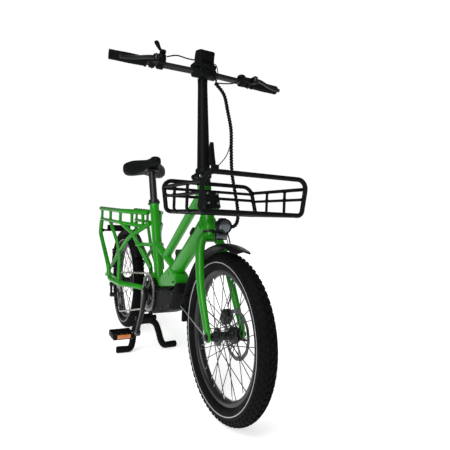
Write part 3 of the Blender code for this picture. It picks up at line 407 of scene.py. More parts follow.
def slab(outline: Sequence[tuple[float, float]], y_from: float, y_to: float, edge: float = 0.001,
         corner: float = 0.0) -> Patch:
    """A plate in the X-Z plane with rounded edges: insets of the outline by edge * (1 - cos), raised by its sine.

    Args:
        outline: Corners as (x, z).
        y_from: One face.
        y_to: The other face.
        edge: Radius of the rounded edge.
        corner: Radius that the outline's own corners get.

    Returns:
        A closed patch.
    """
    path = np.array([(x, 0.0, z) for x, z in outline])
    if corner:
        path = rounded(path, corner, steps=5, closed=True)
    keep = np.linalg.norm(path - np.roll(path, 1, 0), axis=1) > 1e-6
    flat = path[keep][:, [0, 2]]
    ahead, back = np.roll(flat, -1, 0) - flat, flat - np.roll(flat, 1, 0)
    area = np.cross(flat, np.roll(flat, -1, 0)).sum()
    normal = ahead / np.linalg.norm(ahead, axis=1)[:, None] + back / np.linalg.norm(back, axis=1)[:, None]
    normal = normal[:, ::-1] * (1, -1) / np.linalg.norm(normal, axis=1)[:, None] * np.sign(area)
    low, high = sorted((y_from, y_to))
    turns = np.radians([90, 60, 30, 0])
    inset = edge * (1 - np.cos(turns))
    rows = [(low + edge * (1 - math.sin(a)), d) for a, d in zip(turns, inset)]
    rows += [(high - edge * (1 - math.sin(a)), d) for a, d in zip(turns[::-1], inset[::-1])]
    points = np.stack([np.insert(flat - normal * d, 1, y, axis=1) for y, d in rows])
    body = grid(points, caps=False)
    count = len(flat)
    last = (len(rows) - 1) * count
    body.ngons = [list(range(count)), list(range(last, last + count))[::-1]]
    return body.outward()


def bolt(centre: Point, axis: Point, radius: float, height: float | None = None) -> Patch:
    """A socket-head screw: a rounded cylinder with a blind hole in its face."""
    tall = radius * 1.1 if height is None else height
    profile = [(radius * 0.98, -0.0004), (radius, 0), (radius, tall * 0.8), (radius * 0.9, tall),
               (radius * 0.56, tall), (radius * 0.52, tall * 0.94), (radius * 0.5, tall * 0.35),
               (0.00001, tall * 0.3)]
    return lathe(profile, centre, axis, 24)


def weld_bead(centre: Point, axis: Point, radius: float, thick: float = 0.0022, squash: float = 1.0) -> Patch:
    """A weld's row of overlapped scales: a ring whose thickness ripples about once in 2.5 mm."""
    turns = full_turn(144)
    turn = basis(axis, Y_AXIS)
    flat = np.stack([np.cos(turns), np.sin(turns) * squash, np.zeros(144)], -1) * radius
    ripples = round(2 * np.pi * radius / 0.0025)
    return tube(flat @ turn.T + np.asarray(centre, float), thick * (1 + 0.14 * np.sin(ripples * turns)), 10,
                closed=True)


def spun(patch: Patch, centre: Point, count: int, axis: Point = (0, 1, 0), start: float = 0.0) -> list[Patch]:
    """Copies of a patch turned evenly about an axis."""
    return [patch.moved(turn=turn_about(axis, start + 2 * math.pi * k / count), about=centre)
            for k in range(count)]


def turn_about(axis: Point, angle: float) -> Array:
    """Rotation matrix about an axis by an angle in radians."""
    return np.array(Matrix.Rotation(angle, 3, Vector(axis)))


def steer(along: float, forward: float = 0.0, left: float = 0.0) -> Array:
    """A point by its distance up the steering axis, forward of it and to the left."""
    return HEAD_BOTTOM + STEER_AXIS * along + STEER_FORWARD * forward + Y_AXIS * left


# ---- finishes -----------------------------------------------------------------------------------
def linear(hex_colour: str) -> tuple[float, float, float, float]:
    """An sRGB hex colour as linear RGBA."""
    parts = [int(hex_colour[i:i + 2], 16) / 255 for i in (1, 3, 5)]
    return (*[c / 12.92 if c <= 0.04045 else ((c + 0.055) / 1.055) ** 2.4 for c in parts], 1.0)


def add_node(tree: bpy.types.NodeTree, kind: str, settings: dict[str, Any] | None = None,
             links: dict[str | int, bpy.types.NodeSocket] | None = None) -> bpy.types.Node:
    """Adds a node.

    Args:
        tree: The node tree.
        kind: The node's type name.
        settings: Values, each for the input or else the property of that name.
        links: The sockets that feed its inputs.

    Returns:
        The node.
    """
    made = tree.nodes.new(kind)
    for key, value in (settings or {}).items():
        if hasattr(made, key):
            setattr(made, key, value)
        else:
            made.inputs[key].default_value = value
    for key, source in (links or {}).items():
        tree.links.new(source, made.inputs[key])
    return made


class Surface(Enum):
    """How a surface was made, which gives its relief."""

    SPRAYED = "sprayed"
    MOULDED = "moulded"
    BRUSHED = "brushed"
    GRAINED = "grained"
    PRISMS = "prisms"


@dataclass(frozen=True)
class Finish:
    """A material: what it is, its colour, its gloss and the relief of its surface.

    Attributes:
        name: Common name and process.
        colour: Main colour.
        shade: Colour of its darker or dustier patches.
        surface: How the surface was made.
        grain_mm: Size of the relief's grain.
        depth_mm: Depth of that relief.
        patch_mm: Size of the patches where the colour and gloss drift.
        drift: How far the colour goes towards shade, 0 to 1.
        metallic: 1 for bare metal.
        roughness: Middle roughness.
        spread: How far the roughness drifts either way.
        coat: Strength of a clear coat over it.
        ior: Index of refraction of a non-metal.
        sheen: Soft edge glow of a dusty or napped surface.
        slot: The record's material slot that it stands for. Not used.
    """

    name: str
    colour: str
    shade: str
    surface: Surface = Surface.MOULDED
    grain_mm: float = 1.2
    depth_mm: float = 0.05
    patch_mm: float = 60.0
    drift: float = 0.5
    metallic: float = 0.0
    roughness: float = 0.5
    spread: float = 0.06
    coat: float = 0.0
    ior: float = 1.5
    sheen: float = 0.0
    slot: str = "plastic"

    def material(self) -> bpy.types.Material:
        """The material, made once and then reused."""
        known = bpy.data.materials.get(self.name)
        if known is not None:
            return known
        made = bpy.data.materials.new(self.name)
        made.use_nodes = True
        tree = made.node_tree
        shader = tree.nodes["Principled BSDF"]
        place = add_node(tree, "ShaderNodeTexCoord").outputs["Object"]
        drift = add_node(tree, "ShaderNodeTexNoise", {"Scale": 1000 / self.patch_mm, "Detail": 5.0,
                                                      "Roughness": 0.6},
                         {"Vector": place}).outputs["Fac"]
        wide = add_node(tree, "ShaderNodeMapRange", {"From Min": 0.38, "From Max": 0.68,
                                                     "To Max": self.drift},
                        {"Value": drift}).outputs["Result"]
        colour = add_node(tree, "ShaderNodeMix", {"data_type": "RGBA"}, {0: wide})
        colour.inputs[6].default_value = linear(self.colour)
        colour.inputs[7].default_value = linear(self.shade)
        tree.links.new(colour.outputs[2], shader.inputs["Base Color"])
        gloss = add_node(tree, "ShaderNodeMapRange", {"From Min": 0.3, "From Max": 0.7,
                         "To Min": max(self.roughness - self.spread, 0.02),
                         "To Max": self.roughness + self.spread},
                         {"Value": drift}).outputs["Result"]
        tree.links.new(gloss, shader.inputs["Roughness"])
        bump = add_node(tree, "ShaderNodeBump", {"Strength": 1.0, "Distance": self.depth_mm / 1000},
                        {"Height": self.relief(tree, place)})
        tree.links.new(bump.outputs["Normal"], shader.inputs["Normal"])
        shader.inputs["Metallic"].default_value = self.metallic
        shader.inputs["Coat Weight"].default_value = self.coat
        shader.inputs["Coat Roughness"].default_value = 0.04
        shader.inputs["Sheen Weight"].default_value = self.sheen
        if not self.metallic:
            shader.inputs["IOR"].default_value = self.ior
        return made

    def relief(self, tree: bpy.types.NodeTree, place: bpy.types.NodeSocket) -> bpy.types.NodeSocket:
        """Height of the surface's grain, 0 to 1, as its process leaves it."""
        scale = 1000 / self.grain_mm
        if self.surface is Surface.BRUSHED:
            lines = add_node(tree, "ShaderNodeMapping", {"Scale": (scale, scale * 0.04, scale)},
                             {"Vector": place})
            return add_node(tree, "ShaderNodeTexNoise", {"Scale": 1.0, "Detail": 3.0},
                            {"Vector": lines.outputs["Vector"]}).outputs["Fac"]
        if self.surface is Surface.GRAINED:
            cells = add_node(tree, "ShaderNodeTexVoronoi", {"feature": "DISTANCE_TO_EDGE", "Scale": scale},
                             {"Vector": place}).outputs["Distance"]
            creases = add_node(tree, "ShaderNodeMapRange", {"From Max": 0.25},
                               {"Value": cells}).outputs["Result"]
            fine = add_node(tree, "ShaderNodeTexNoise", {"Scale": scale * 2.5, "Detail": 2.0},
                            {"Vector": place})
            return add_node(tree, "ShaderNodeMath", {"operation": "MULTIPLY_ADD"},
                            {0: fine.outputs["Fac"], 1: creases, 2: creases}).outputs["Value"]
        if self.surface is Surface.PRISMS:
            return add_node(tree, "ShaderNodeTexVoronoi", {"Scale": scale, "Randomness": 0.0},
                            {"Vector": place}).outputs["Distance"]
        if self.surface is Surface.SPRAYED:
            return add_node(tree, "ShaderNodeTexNoise", {"Scale": scale, "Detail": 1.0, "Roughness": 0.4},
                            {"Vector": place}).outputs["Fac"]
        return add_node(tree, "ShaderNodeTexNoise", {"Scale": scale, "Detail": 4.0, "Roughness": 0.65},
                        {"Vector": place}).outputs["Fac"]


# Gloss polyester powder coat under clear lacquer: deep even green, crisp reflections, faint orange peel.
GREEN_COAT = Finish("green_gloss_powder_coat", "#1C8B0A", "#147207", Surface.SPRAYED, 2.6, 0.012, 140, 0.5,
                    roughness=0.34, spread=0.04, coat=0.14, ior=1.34, slot="green")
# Fine-texture polyester powder coat on steel: soft wide highlights, a sandy grain when close.
BLACK_COAT = Finish("black_satin_powder_coat", "#0D0E0F", "#141516", Surface.SPRAYED, 0.9, 0.03, 90, 0.6,
                    roughness=0.42, ior=1.15, slot="black_metal")
# Type II anodised aluminium, bead blasted: dark with a tight metallic sheen.
BLACK_ANODISED = Finish("black_anodised_aluminium", "#131416", "#0D0E0F", Surface.BRUSHED, 0.7, 0.015, 70,
                        0.6,
                        metallic=0.15, roughness=0.4, ior=1.17, slot="alloy")
# Injection-moulded glass-filled nylon with a spark-eroded texture: dull and even.
NYLON = Finish("black_moulded_nylon", "#0B0C0D", "#121314", Surface.MOULDED, 0.8, 0.05, 60, 0.6,
               roughness=0.52, ior=1.15)
# Blow-moulded polypropylene mudguard sheet: a little glossier than nylon, with drag lines of dust.
MUDGUARD_PP = Finish("mudguard_polypropylene", "#0D0E0F", "#171818", Surface.MOULDED, 1.5, 0.03, 45, 0.7,
                     roughness=0.4, spread=0.1, ior=1.17)
# Vulcanised natural rubber tread compound: nearly black, matte, a trace of road dust.
TREAD_RUBBER = Finish("vulcanised_tread_rubber", "#0B0B0B", "#161615", Surface.MOULDED, 1.0, 0.08, 22, 0.8,
                      roughness=0.85, ior=1.15, slot="rubber")
# Thin sidewall rubber over casing cords: smoother than the tread.
SIDEWALL_RUBBER = Finish("sidewall_rubber", "#0E0E0E", "#0A0A0A", Surface.MOULDED, 0.7, 0.03, 30, 0.7,
                         roughness=0.62, ior=1.15,
                         slot="rubber")
# Glass-bead retroreflective tape: cool pale grey with a fine beaded sparkle.
REFLEX_TAPE = Finish("retroreflective_glass_bead_tape", "#B2B4B6", "#9A9DA0", Surface.GRAINED, 1.0, 0.02, 20,
                     0.5,
                     metallic=0.35, roughness=0.35)
# Thermoplastic rubber grip: dull, slightly dusty.
GRIP_RUBBER = Finish("moulded_grip_rubber", "#0C0D0D", "#161717", Surface.MOULDED, 0.9, 0.08, 16, 0.7,
                     roughness=0.74, ior=1.15, slot="grip_rubber")
# Embossed polyurethane leather: pebbled grain with a low gloss.
SADDLE_VINYL = Finish("embossed_polyurethane_leather", "#0E0F10", "#161718", Surface.GRAINED, 1.9, 0.14, 40,
                      0.5,
                      roughness=0.5, ior=1.15, slot="saddle_cover")
# Nickel-plated chain steel, lightly oiled: warm bright grey with darker oily patches.
CHAIN_STEEL = Finish("oiled_nickel_plated_steel", "#A9A7A2", "#6E6B66", Surface.MOULDED, 1.2, 0.02, 9, 0.8,
                     metallic=1.0, roughness=0.33, spread=0.1, slot="steel")
# Zinc-plated fastener steel: bright and slightly blue.
ZINC_STEEL = Finish("zinc_plated_steel", "#BFC3C8", "#95999E", Surface.MOULDED, 0.8, 0.02, 8, 0.6,
                    metallic=1.0,
                    roughness=0.28, slot="steel")
# Ground stainless brake-disc steel: grinding lines, strong soft reflection.
DISC_STEEL = Finish("ground_stainless_steel", "#5C5E61", "#3C3E40", Surface.BRUSHED, 0.8, 0.02, 18, 0.7,
                    metallic=1.0, roughness=0.34, slot="steel")
# Drawn stainless wire, blackened.
SPOKE_STEEL = Finish("blackened_stainless_wire", "#1A1B1C", "#101011", Surface.BRUSHED, 0.7, 0.01, 12, 0.6,
                     metallic=0.2, roughness=0.42, ior=1.17, slot="steel")
# Clear moulded polycarbonate over a metallised bowl.
LENS_CLEAR = Finish("clear_polycarbonate_lens", "#4A5054", "#2B3033", Surface.PRISMS, 3.0, 0.35, 14, 0.5,
                    metallic=0.55, roughness=0.1, spread=0.03, coat=1.0, ior=1.58, slot="lens")
# Amber acrylic cube-corner reflector.
AMBER_ACRYLIC = Finish("amber_acrylic_reflector", "#C56A1E", "#9A4A10", Surface.PRISMS, 2.4, 0.4, 12, 0.6,
                       roughness=0.16, coat=0.8, ior=1.49)
# Red acrylic tail lens with moulded prisms.
RED_ACRYLIC = Finish("red_acrylic_lens", "#A3121A", "#6E0A10", Surface.PRISMS, 2.6, 0.35, 14, 0.6,
                     roughness=0.15, coat=0.9, ior=1.49, slot="red_lens")
# Polyurethane cable jacket: smooth, slightly greasy shine.
CABLE_JACKET = Finish("extruded_cable_jacket", "#0B0C0D", "#131415", Surface.MOULDED, 0.6, 0.02, 20, 0.6,
                      roughness=0.4, ior=1.15)
# Hard-coat glass over a dark display.
DISPLAY_GLASS = Finish("hard_coated_display_glass", "#0C0E11", "#101317", Surface.SPRAYED, 4.0, 0.002,
                       60, 0.4, roughness=0.06, spread=0.02, coat=1.0)
# Matte white emulsion on a studio sweep: even, no gloss.
FLOOR_PAINT = Finish("matte_white_emulsion", "#F6F6F6", "#F4F4F4", Surface.SPRAYED, 6.0, 0.02, 400, 0.5,
                     roughness=0.9)


# ---- sub-assemblies -----------------------------------------------------------------------------
SEAT_TOP = np.array([0.431, 0.0, 0.69])
HEAD_LENGTH = 0.168
RAIL_Y = 0.105
LOOP_Y = 0.117
CHAIN_Y = -0.0475
TOP_RAIL = [(0.43, 0.027, 0.637), (0.24, RAIL_Y, 0.643), (-0.268, RAIL_Y, 0.661)]
LOW_RAIL = [(0.418, 0.028, 0.572), (0.24, RAIL_Y, 0.585), (-0.252, RAIL_Y, 0.598)]
PULLEYS = (np.array([0.02, CHAIN_Y, 0.185]), np.array([0.052, CHAIN_Y, 0.118]))
CRANK_REACH = joint_place("pedal_right_spin") - BOTTOM_BRACKET
CRANK_REACH[1] = 0.0


@dataclass
class Assembly:
    """A group of pieces, most of them on one body.

    Attributes:
        body: The CAD body that they ride on.
    """

    body: str = "frame"

    def add(self, name: str, finish: Finish, parts: Sequence[Patch], *replaces: str, body: str | Bend = "",
            crease: float = 38.0) -> bpy.types.Object:
        """Joins patches into one piece of one finish on a body, in place of the named CAD nodes."""
        return Patch.join(parts).build(name, finish, body or self.body, replaces, crease)


def side_of(points: Sequence[Point], sign: int) -> list[tuple[float, float, float]]:
    """Points of the rider's left (+1) or right (-1) side, from the left side's."""
    return [(x, y * sign, z) for x, y, z in points]


def on_rail(rail: Sequence[Point], x: float) -> Array:
    """The point of a rail at x."""
    line = np.asarray(rail, float)[::-1]
    return np.array([x, np.interp(x, line[:, 0], line[:, 1]), np.interp(x, line[:, 0], line[:, 2])])


def seam(start: Point, end: Point, radius: float, host: Point, axis: Point, host_radius: float,
         thick: float = 0.0021) -> Patch:
    """Weld bead where a round tube runs into another.

    Each line of the tube's wall meets the host at the smaller root of |w + t d| = host radius, where w and d
    are the line's start and direction with their parts along the host's axis taken away.
    """
    along = np.asarray(end, float) - start
    along /= np.linalg.norm(along)
    host_axis = np.asarray(axis, float) / np.linalg.norm(axis)
    turns = full_turn(120)
    turn = basis(along)
    wall = np.asarray(start) + radius * (np.cos(turns)[:, None] * turn[:, 0] + np.sin(turns)[:,
        None] * turn[:, 1])
    off = wall - np.asarray(host, float)
    off -= (off @ host_axis)[:, None] * host_axis
    run = along - (along @ host_axis) * host_axis
    a, b, c = run @ run, off @ run, (off**2).sum(1) - host_radius**2
    reach = (-b - np.sqrt(np.maximum(b * b - a * c, 0))) / a
    ripples = round(2 * np.pi * radius / 0.0026)
    return tube(wall + reach[:, None] * along, thick * (1 + 0.16 * np.sin(ripples * turns)), 8, closed=True)


@dataclass
class FrameTubes(Assembly):
    """Main triangle, motor cover and head tube, welded and painted."""

    head_r: float = 0.0245
    down_r: float = 0.031
    down_width: float = 0.86
    top_r: float = 0.0175
    strut_r: float = 0.0165
    seat_r: float = 0.0203

    def build(self) -> None:
        """Makes the tubes with their weld beads, the cover and the small fittings."""
        down = [(1.012, 0, 0.5955), (0.735, 0, 0.3915)]
        top = [(0.99, 0, 0.7195), (0.64, 0, 0.4605)]
        strut = [(0.5092, 0, 0.4933), (0.772, 0, 0.406)]
        seat_low = SEAT_TOP - SEAT_AXIS * 0.377
        head = [(0.0168, 0.002), (0.0232, 0.002), (self.head_r, 0.0035), (self.head_r, 0.015),
                (0.0233, 0.0185),
                (0.0233, 0.15), (self.head_r, 0.1535), (self.head_r, 0.166), (0.0232, 0.1675),
                (0.0168, 0.1675)]
        seat = [(0.0171, 0.0), (self.seat_r - 0.001, 0.0), (self.seat_r, 0.001), (self.seat_r, 0.33),
                (self.seat_r + 0.0012, 0.333), (self.seat_r + 0.0012, 0.3755), (self.seat_r, 0.377),
                (0.0171, 0.377)]
        cover = [(0.455, 0.2965), (0.603, 0.3175), (0.819, 0.354), (0.812, 0.4), (0.742, 0.428),
                 (0.64, 0.372),
                 (0.56, 0.352), (0.52, 0.372), (0.468, 0.34)]
        self.add("main_frame_tubes", GREEN_COAT, [
            hoop(head, HEAD_BOTTOM, STEER_AXIS, 64), hoop(seat, seat_low, SEAT_AXIS, 48),
            rod(*down, self.down_r, sides=48, section=circle(48) * (1, self.down_width)),
            rod(*top, self.top_r, sides=40), rod(*strut, self.strut_r, sides=40),
            slab(cover, -0.03, 0.03, 0.009, 0.01),
            seam(down[1], down[0], self.down_r - 0.002, HEAD_BOTTOM, STEER_AXIS, self.head_r - 0.001, 0.0028),
            seam(top[1], top[0], self.top_r, HEAD_BOTTOM, STEER_AXIS, self.head_r - 0.0012, 0.0026),
            seam(top[0], top[1], self.top_r, strut[0], np.subtract(*strut), self.strut_r),
            seam(strut[1], strut[0], self.strut_r, seat_low, SEAT_AXIS, self.seat_r, 0.0024),
            weld_bead((0.741, 0, 0.3958), np.subtract(*down), 0.0302, 0.0026, 0.86),
        ], "main_frame", crease=30)
        port = np.array([0.958, -0.0245, 0.572])
        self.add("cable_port", NYLON, [
            rounded_box(port, (0.034, 0.01, 0.02), 0.0045, turn_about((0, 1, 0), -math.radians(36))),
            rod(port + (0.006, -0.002, 0.004), port + (0.03, 0.006, 0.016), 0.0042, 0.0034, 16),
        ])
        self.add("frame_screws", BLACK_ANODISED, [
            *[bolt(port + (x, -0.0046, z), (0, -1, 0), 0.0022) for x,
              z in ((-0.01, -0.0075), (0.011, 0.0077))],
            *[bolt((x, y, z), (0, np.sign(y), 0), 0.0048, 0.004) for y in (-0.0298, 0.0298)
              for x, z in ((0.47, 0.313), (0.615, 0.335), (0.8, 0.37))],
        ])


@dataclass
class RearRack(Assembly):
    """Rear rack rails, stays, braces and the outer loops, with the dropouts."""

    post_x: tuple[float, ...] = (-0.236, -0.005, 0.222, 0.318, 0.395)

    def side(self, sign: int) -> None:
        """One side of the rear frame: sign is +1 on the left and -1 on the right."""
        name = "left" if sign > 0 else "right"
        top, low = (rounded(side_of(rail, sign), 0.16, 10) for rail in (TOP_RAIL, LOW_RAIL))
        posts = [rod(on_rail(LOW_RAIL, x) * (1, sign, 1), on_rail(TOP_RAIL, x) * (1, sign, 1), 0.0075)
                 for x in self.post_x]
        ends = [(at, h) for x in self.post_x
                for at, h in ((on_rail(LOW_RAIL, x), 0.0095), (on_rail(TOP_RAIL, x), -0.0105))]
        beads = [weld_bead(at * (1, sign, 1) + (0, 0, h), (0, 0, 1), 0.0076, 0.0016) for at, h in ends]
        self.add("rack_rails_" + name, GREEN_COAT, [tube(top, 0.0105, 28), tube(low, 0.009, 28), *posts,
                                                    *beads],
                 "rack_side_" + name)
        loop = [(-0.245, RAIL_Y, 0.5876), (-0.243, RAIL_Y + 0.005, 0.515), (0.036, LOOP_Y, 0.35),
                (0.078, LOOP_Y, 0.282), (0.28, 0.108, 0.2845), (0.375, 0.062, 0.2885), (0.466, 0.0305, 0.288)]
        self.add("loop_tube_" + name, GREEN_COAT, [tube(rounded(side_of(loop, sign), 0.045, 12), 0.0115, 28)],
                 "outer_loop_" + name)
        stay = side_of([(0.452, 0.023, 0.59), (0.3, 0.078, 0.517), (0.03, 0.0865, 0.37),
                        (-0.118, 0.093, 0.277)], sign)
        brace = side_of([(0.24, RAIL_Y, 0.585), (0.322, 0.068, 0.538), (0.505, 0.027, 0.386)], sign)
        middle = side_of([(0.002, RAIL_Y, 0.585), (0.15, 0.086, 0.442), (0.255, 0.11, 0.29)], sign)
        bent = rounded(stay, 0.25, 8)
        self.add("stays_" + name, GREEN_COAT, [
            tube(bent, np.linspace(0.011, 0.009, len(bent)), 28), tube(rounded(brace, 0.12, 8), 0.01, 28),
            tube(rounded(middle, 0.4, 6), 0.009, 28),
            seam(middle[1], middle[0], 0.009, middle[0], X_AXIS, 0.0092, 0.0015),
            seam(middle[1], middle[2], 0.009, middle[2], X_AXIS, 0.0117, 0.0015),
        ], "rear_truss_" + name)
        route = side_of([(0.03, 0.0705, 0.262), (0.2, 0.056, 0.272), (0.35, 0.033, 0.281),
                         (0.466, 0.012, 0.283)], sign)
        plate = [(-0.128, 0.262), (-0.02, 0.236), (0.02, 0.236), (0.052, 0.256), (0.04, 0.282), (-0.1, 0.292),
                 (-0.128, 0.288)]
        self.add("chainstay_bar_" + name, GREEN_COAT, [
            tube(rounded(route, 0.12, 8), 0.0088, 28), slab(plate, sign * 0.068, sign * 0.075, 0.0012, 0.008),
        ], "chainstay_" + name)
        tip = np.array(top[-1])
        studs = np.linspace(-0.245, 0.2, 9)
        self.add("rack_fittings_" + name, NYLON, [
            rod(tip + (0.002, 0, 0), tip + (-0.009, 0, 0.0003), 0.0112, 0.0108, 28, dome=0.5),
            *[lathe([(0.0, -0.001), (0.0042, -0.001), (0.0042, 0.0012), (0.0034, 0.0024), (0.0, 0.0026)],
                    on_rail(TOP_RAIL, x) * (1, sign, 1) + (0, 0, 0.01), (0, 0, 1), 16) for x in studs],
            rounded_box((0.462, sign * 0.0215, 0.2862), (0.016, 0.046, 0.034), 0.004),
        ])
        nut = [(0.0, 0.0), (0.013, 0.0), (0.013, 0.0022), (0.0092, 0.003), (0.0092, 0.0085), (0.0075, 0.0098),
               (0.0058, 0.0098), (0.0058, 0.0125), (0.0048, 0.0135), (0.0, 0.0136)]
        self.add("rear_axle_nut_" + name, BLACK_ANODISED, [
            lathe(nut, REAR_AXLE + Y_AXIS * sign * 0.0752, (0, sign, 0), 24)])

    def build(self) -> None:
        """Makes both sides, the bridge, the crossbar and the lamp at the back."""
        for sign in (-1, 1):
            self.side(sign)
        bend = [(0.39, 0.064, 0.485), (0.43, 0.046, 0.491), (0.464, 0.0, 0.49)]
        bridge = side_of(bend, 1) + side_of(bend[1::-1], -1)
        self.add("stay_bridge", GREEN_COAT, [tube(rounded(bridge, 0.022, 10), 0.0085, 24)],
                 "seat_tube_bridge")
        bar = on_rail(TOP_RAIL, -0.09)
        ends = [bar - Y_AXIS * 2 * bar[1], bar]
        self.add("rack_cross_tube", GREEN_COAT, [
            rod(*ends, 0.007), *[weld_bead((bar[0], y, bar[2]), Y_AXIS, 0.0072, 0.0015)
                                 for y in (-0.0945, 0.0945)],
        ], "rack_crossbar")
        self.add("tail_lamp_housing", NYLON, [
            rod((-0.244, -0.0985, 0.53), (-0.244, 0.0985, 0.53), 0.006),
            *[rounded_box((-0.2435, y, 0.53), (0.017, 0.012, 0.019), 0.004) for y in (-0.095, 0.095)],
            rounded_box((-0.244, 0.0, 0.548), (0.016, 0.14, 0.03), 0.004),
            rounded_box((-0.244, 0.0, 0.536), (0.012, 0.05, 0.012), 0.003),
        ], "tail_light")
        self.add("tail_lamp_lens", RED_ACRYLIC, [rounded_box((-0.253, 0.0, 0.548), (0.013, 0.134, 0.025),
                                                             0.005)])


@dataclass
class Motor(Assembly):
    """Mid-drive motor, its covers and the stand's bracket."""

    half: float = 0.0385

    def build(self) -> None:
        """Makes the housing with its round covers, fins and screws, and the bracket."""
        outline = [(0.47, 0.24), (0.5, 0.204), (0.58, 0.199), (0.7, 0.228), (0.805, 0.262), (0.862, 0.338),
                   (0.842, 0.38), (0.822, 0.352), (0.819, 0.3534), (0.603, 0.3169), (0.456, 0.296)]
        inner = [(0.486, 0.246), (0.508, 0.214), (0.58, 0.209), (0.696, 0.237), (0.796, 0.269),
                 (0.842, 0.332),
                 (0.818, 0.341), (0.61, 0.306), (0.486, 0.288)]
        left = [(0.0, 0.0), (0.064, 0.0), (0.066, 0.002), (0.066, 0.006), (0.062, 0.0095), (0.03, 0.0115),
                (0.026, 0.0095), (0.0, 0.0095)]
        right = [(0.0, 0.0), (0.056, 0.0), (0.056, 0.003), (0.05, 0.0052), (0.022, 0.0055), (0.0, 0.0055)]
        fins = [rounded_box((0.735 + 0.016 * k, 0.0405, 0.293 + 0.0056 * k),
                            (0.0045, 0.006, 0.04 - 0.002 * k),
                            0.0018, turn_about((0, 1, 0), math.radians(18))) for k in range(5)]
        cover = BOTTOM_BRACKET + (0.012, 0, -0.01)
        self.add("motor_housing", NYLON, [
            slab(outline, -self.half, self.half, 0.01, 0.009),
            slab(inner, self.half - 0.004, self.half + 0.0026,
                                                                     0.002, 0.012),
            slab(inner, -self.half - 0.0018, -self.half + 0.004, 0.0016, 0.012),
            lathe(left, cover + Y_AXIS * self.half, Y_AXIS, 64), *fins,
            toothed_ring(BOTTOM_BRACKET + (0.034, 0, -0.004), 0.07, 0.01, 24, -0.0392, 0.0392, 0.0034),
        ], "motor")
        self.add("motor_covers", BLACK_COAT, [lathe(right, BOTTOM_BRACKET - Y_AXIS * self.half, -Y_AXIS, 64)])
        spots = [(0.494, 0.262), (0.512, 0.222), (0.64, 0.226), (0.7, 0.25), (0.79, 0.278), (0.826, 0.33),
                 (0.7, 0.316), (0.64, 0.306)]
        around = [cover[[0, 2]] + 0.057 * np.array(p) for p in circle(6)]
        self.add("motor_screws", BLACK_ANODISED, [
            *[bolt((x, 0.0408, z), Y_AXIS, 0.004, 0.0036) for x, z in spots],
            *[bolt((x, -0.04, z), -Y_AXIS, 0.004, 0.0036) for x, z in spots[3:]],
            *[bolt((x, self.half + 0.0088, z), Y_AXIS, 0.0032, 0.003) for x, z in around],
        ])
        pivot = joint_place("kickstand_fold")
        block = [(0.409, 0.268), (0.409, 0.152), (0.443, 0.152), (0.443, 0.236), (0.4625, 0.24),
                 (0.4625, 0.262),
                 (0.443, 0.268)]
        collar = [(0.0137, -0.026), (0.0185, -0.026), (0.0195, -0.024), (0.0195, 0.024), (0.0185, 0.026),
                  (0.0137, 0.026)]
        self.add("stand_bracket", BLACK_COAT, [
            slab(block, pivot[1] - 0.026, pivot[1] - 0.014, 0.002, 0.003),
            slab(block, pivot[1] + 0.014, pivot[1] + 0.026,
                                                                            0.002, 0.003),
            slab([(0.411, 0.266), (0.411, 0.17), (0.419, 0.17), (0.419, 0.266)], pivot[1] - 0.02,
                 pivot[1] + 0.02),
            hoop(collar, pivot, Y_AXIS, 32),
        ], "kickstand_bracket")


def toothed_ring(centre: Point, outer: float, inner: float, teeth: int, y_from: float, y_to: float,
                 depth: float = 0.0038) -> Patch:
    """A toothed ring: its rim's radius falls by depth * (1 + cos(teeth * turn)) / 2, sharpened between the teeth."""
    turns = full_turn(teeth * 8)
    tip = outer - depth * (0.5 + 0.5 * np.cos(teeth * turns)) ** 0.8
    y = np.array([y_from, y_from, y_to, y_to])
    radius = np.stack([np.full_like(tip, inner), tip, tip, np.full_like(tip, inner)], -1)
    points = np.stack([radius * np.cos(turns)[:, None], np.broadcast_to(y, radius.shape),
                       radius * np.sin(turns)[:, None]], -1)
    return grid(points + (centre[0], 0, centre[2]), wrap_u=True)


def chain_line() -> Array:
    """The chain's centre line: over the chainring and the sprocket, and back round both pulleys."""
    high, low = PULLEYS[0], PULLEYS[1]
    runs = [(BOTTOM_BRACKET, 0.081, 92, -104, 40), (low, 0.021, -76, -205, 14), (high, 0.022, -38, 30, 8),
            (REAR_AXLE, 0.044, -30, -268, 30)]
    line = []
    for centre, radius, start, stop, count in runs:
        turns = np.radians(np.linspace(start, stop, count))
        line.append(np.stack([centre[0] + radius * np.cos(turns), np.full(count, CHAIN_Y),
                              centre[2] + radius * np.sin(turns)], -1))
    joined = np.concatenate(line)
    return np.vstack([joined, joined[:1]])


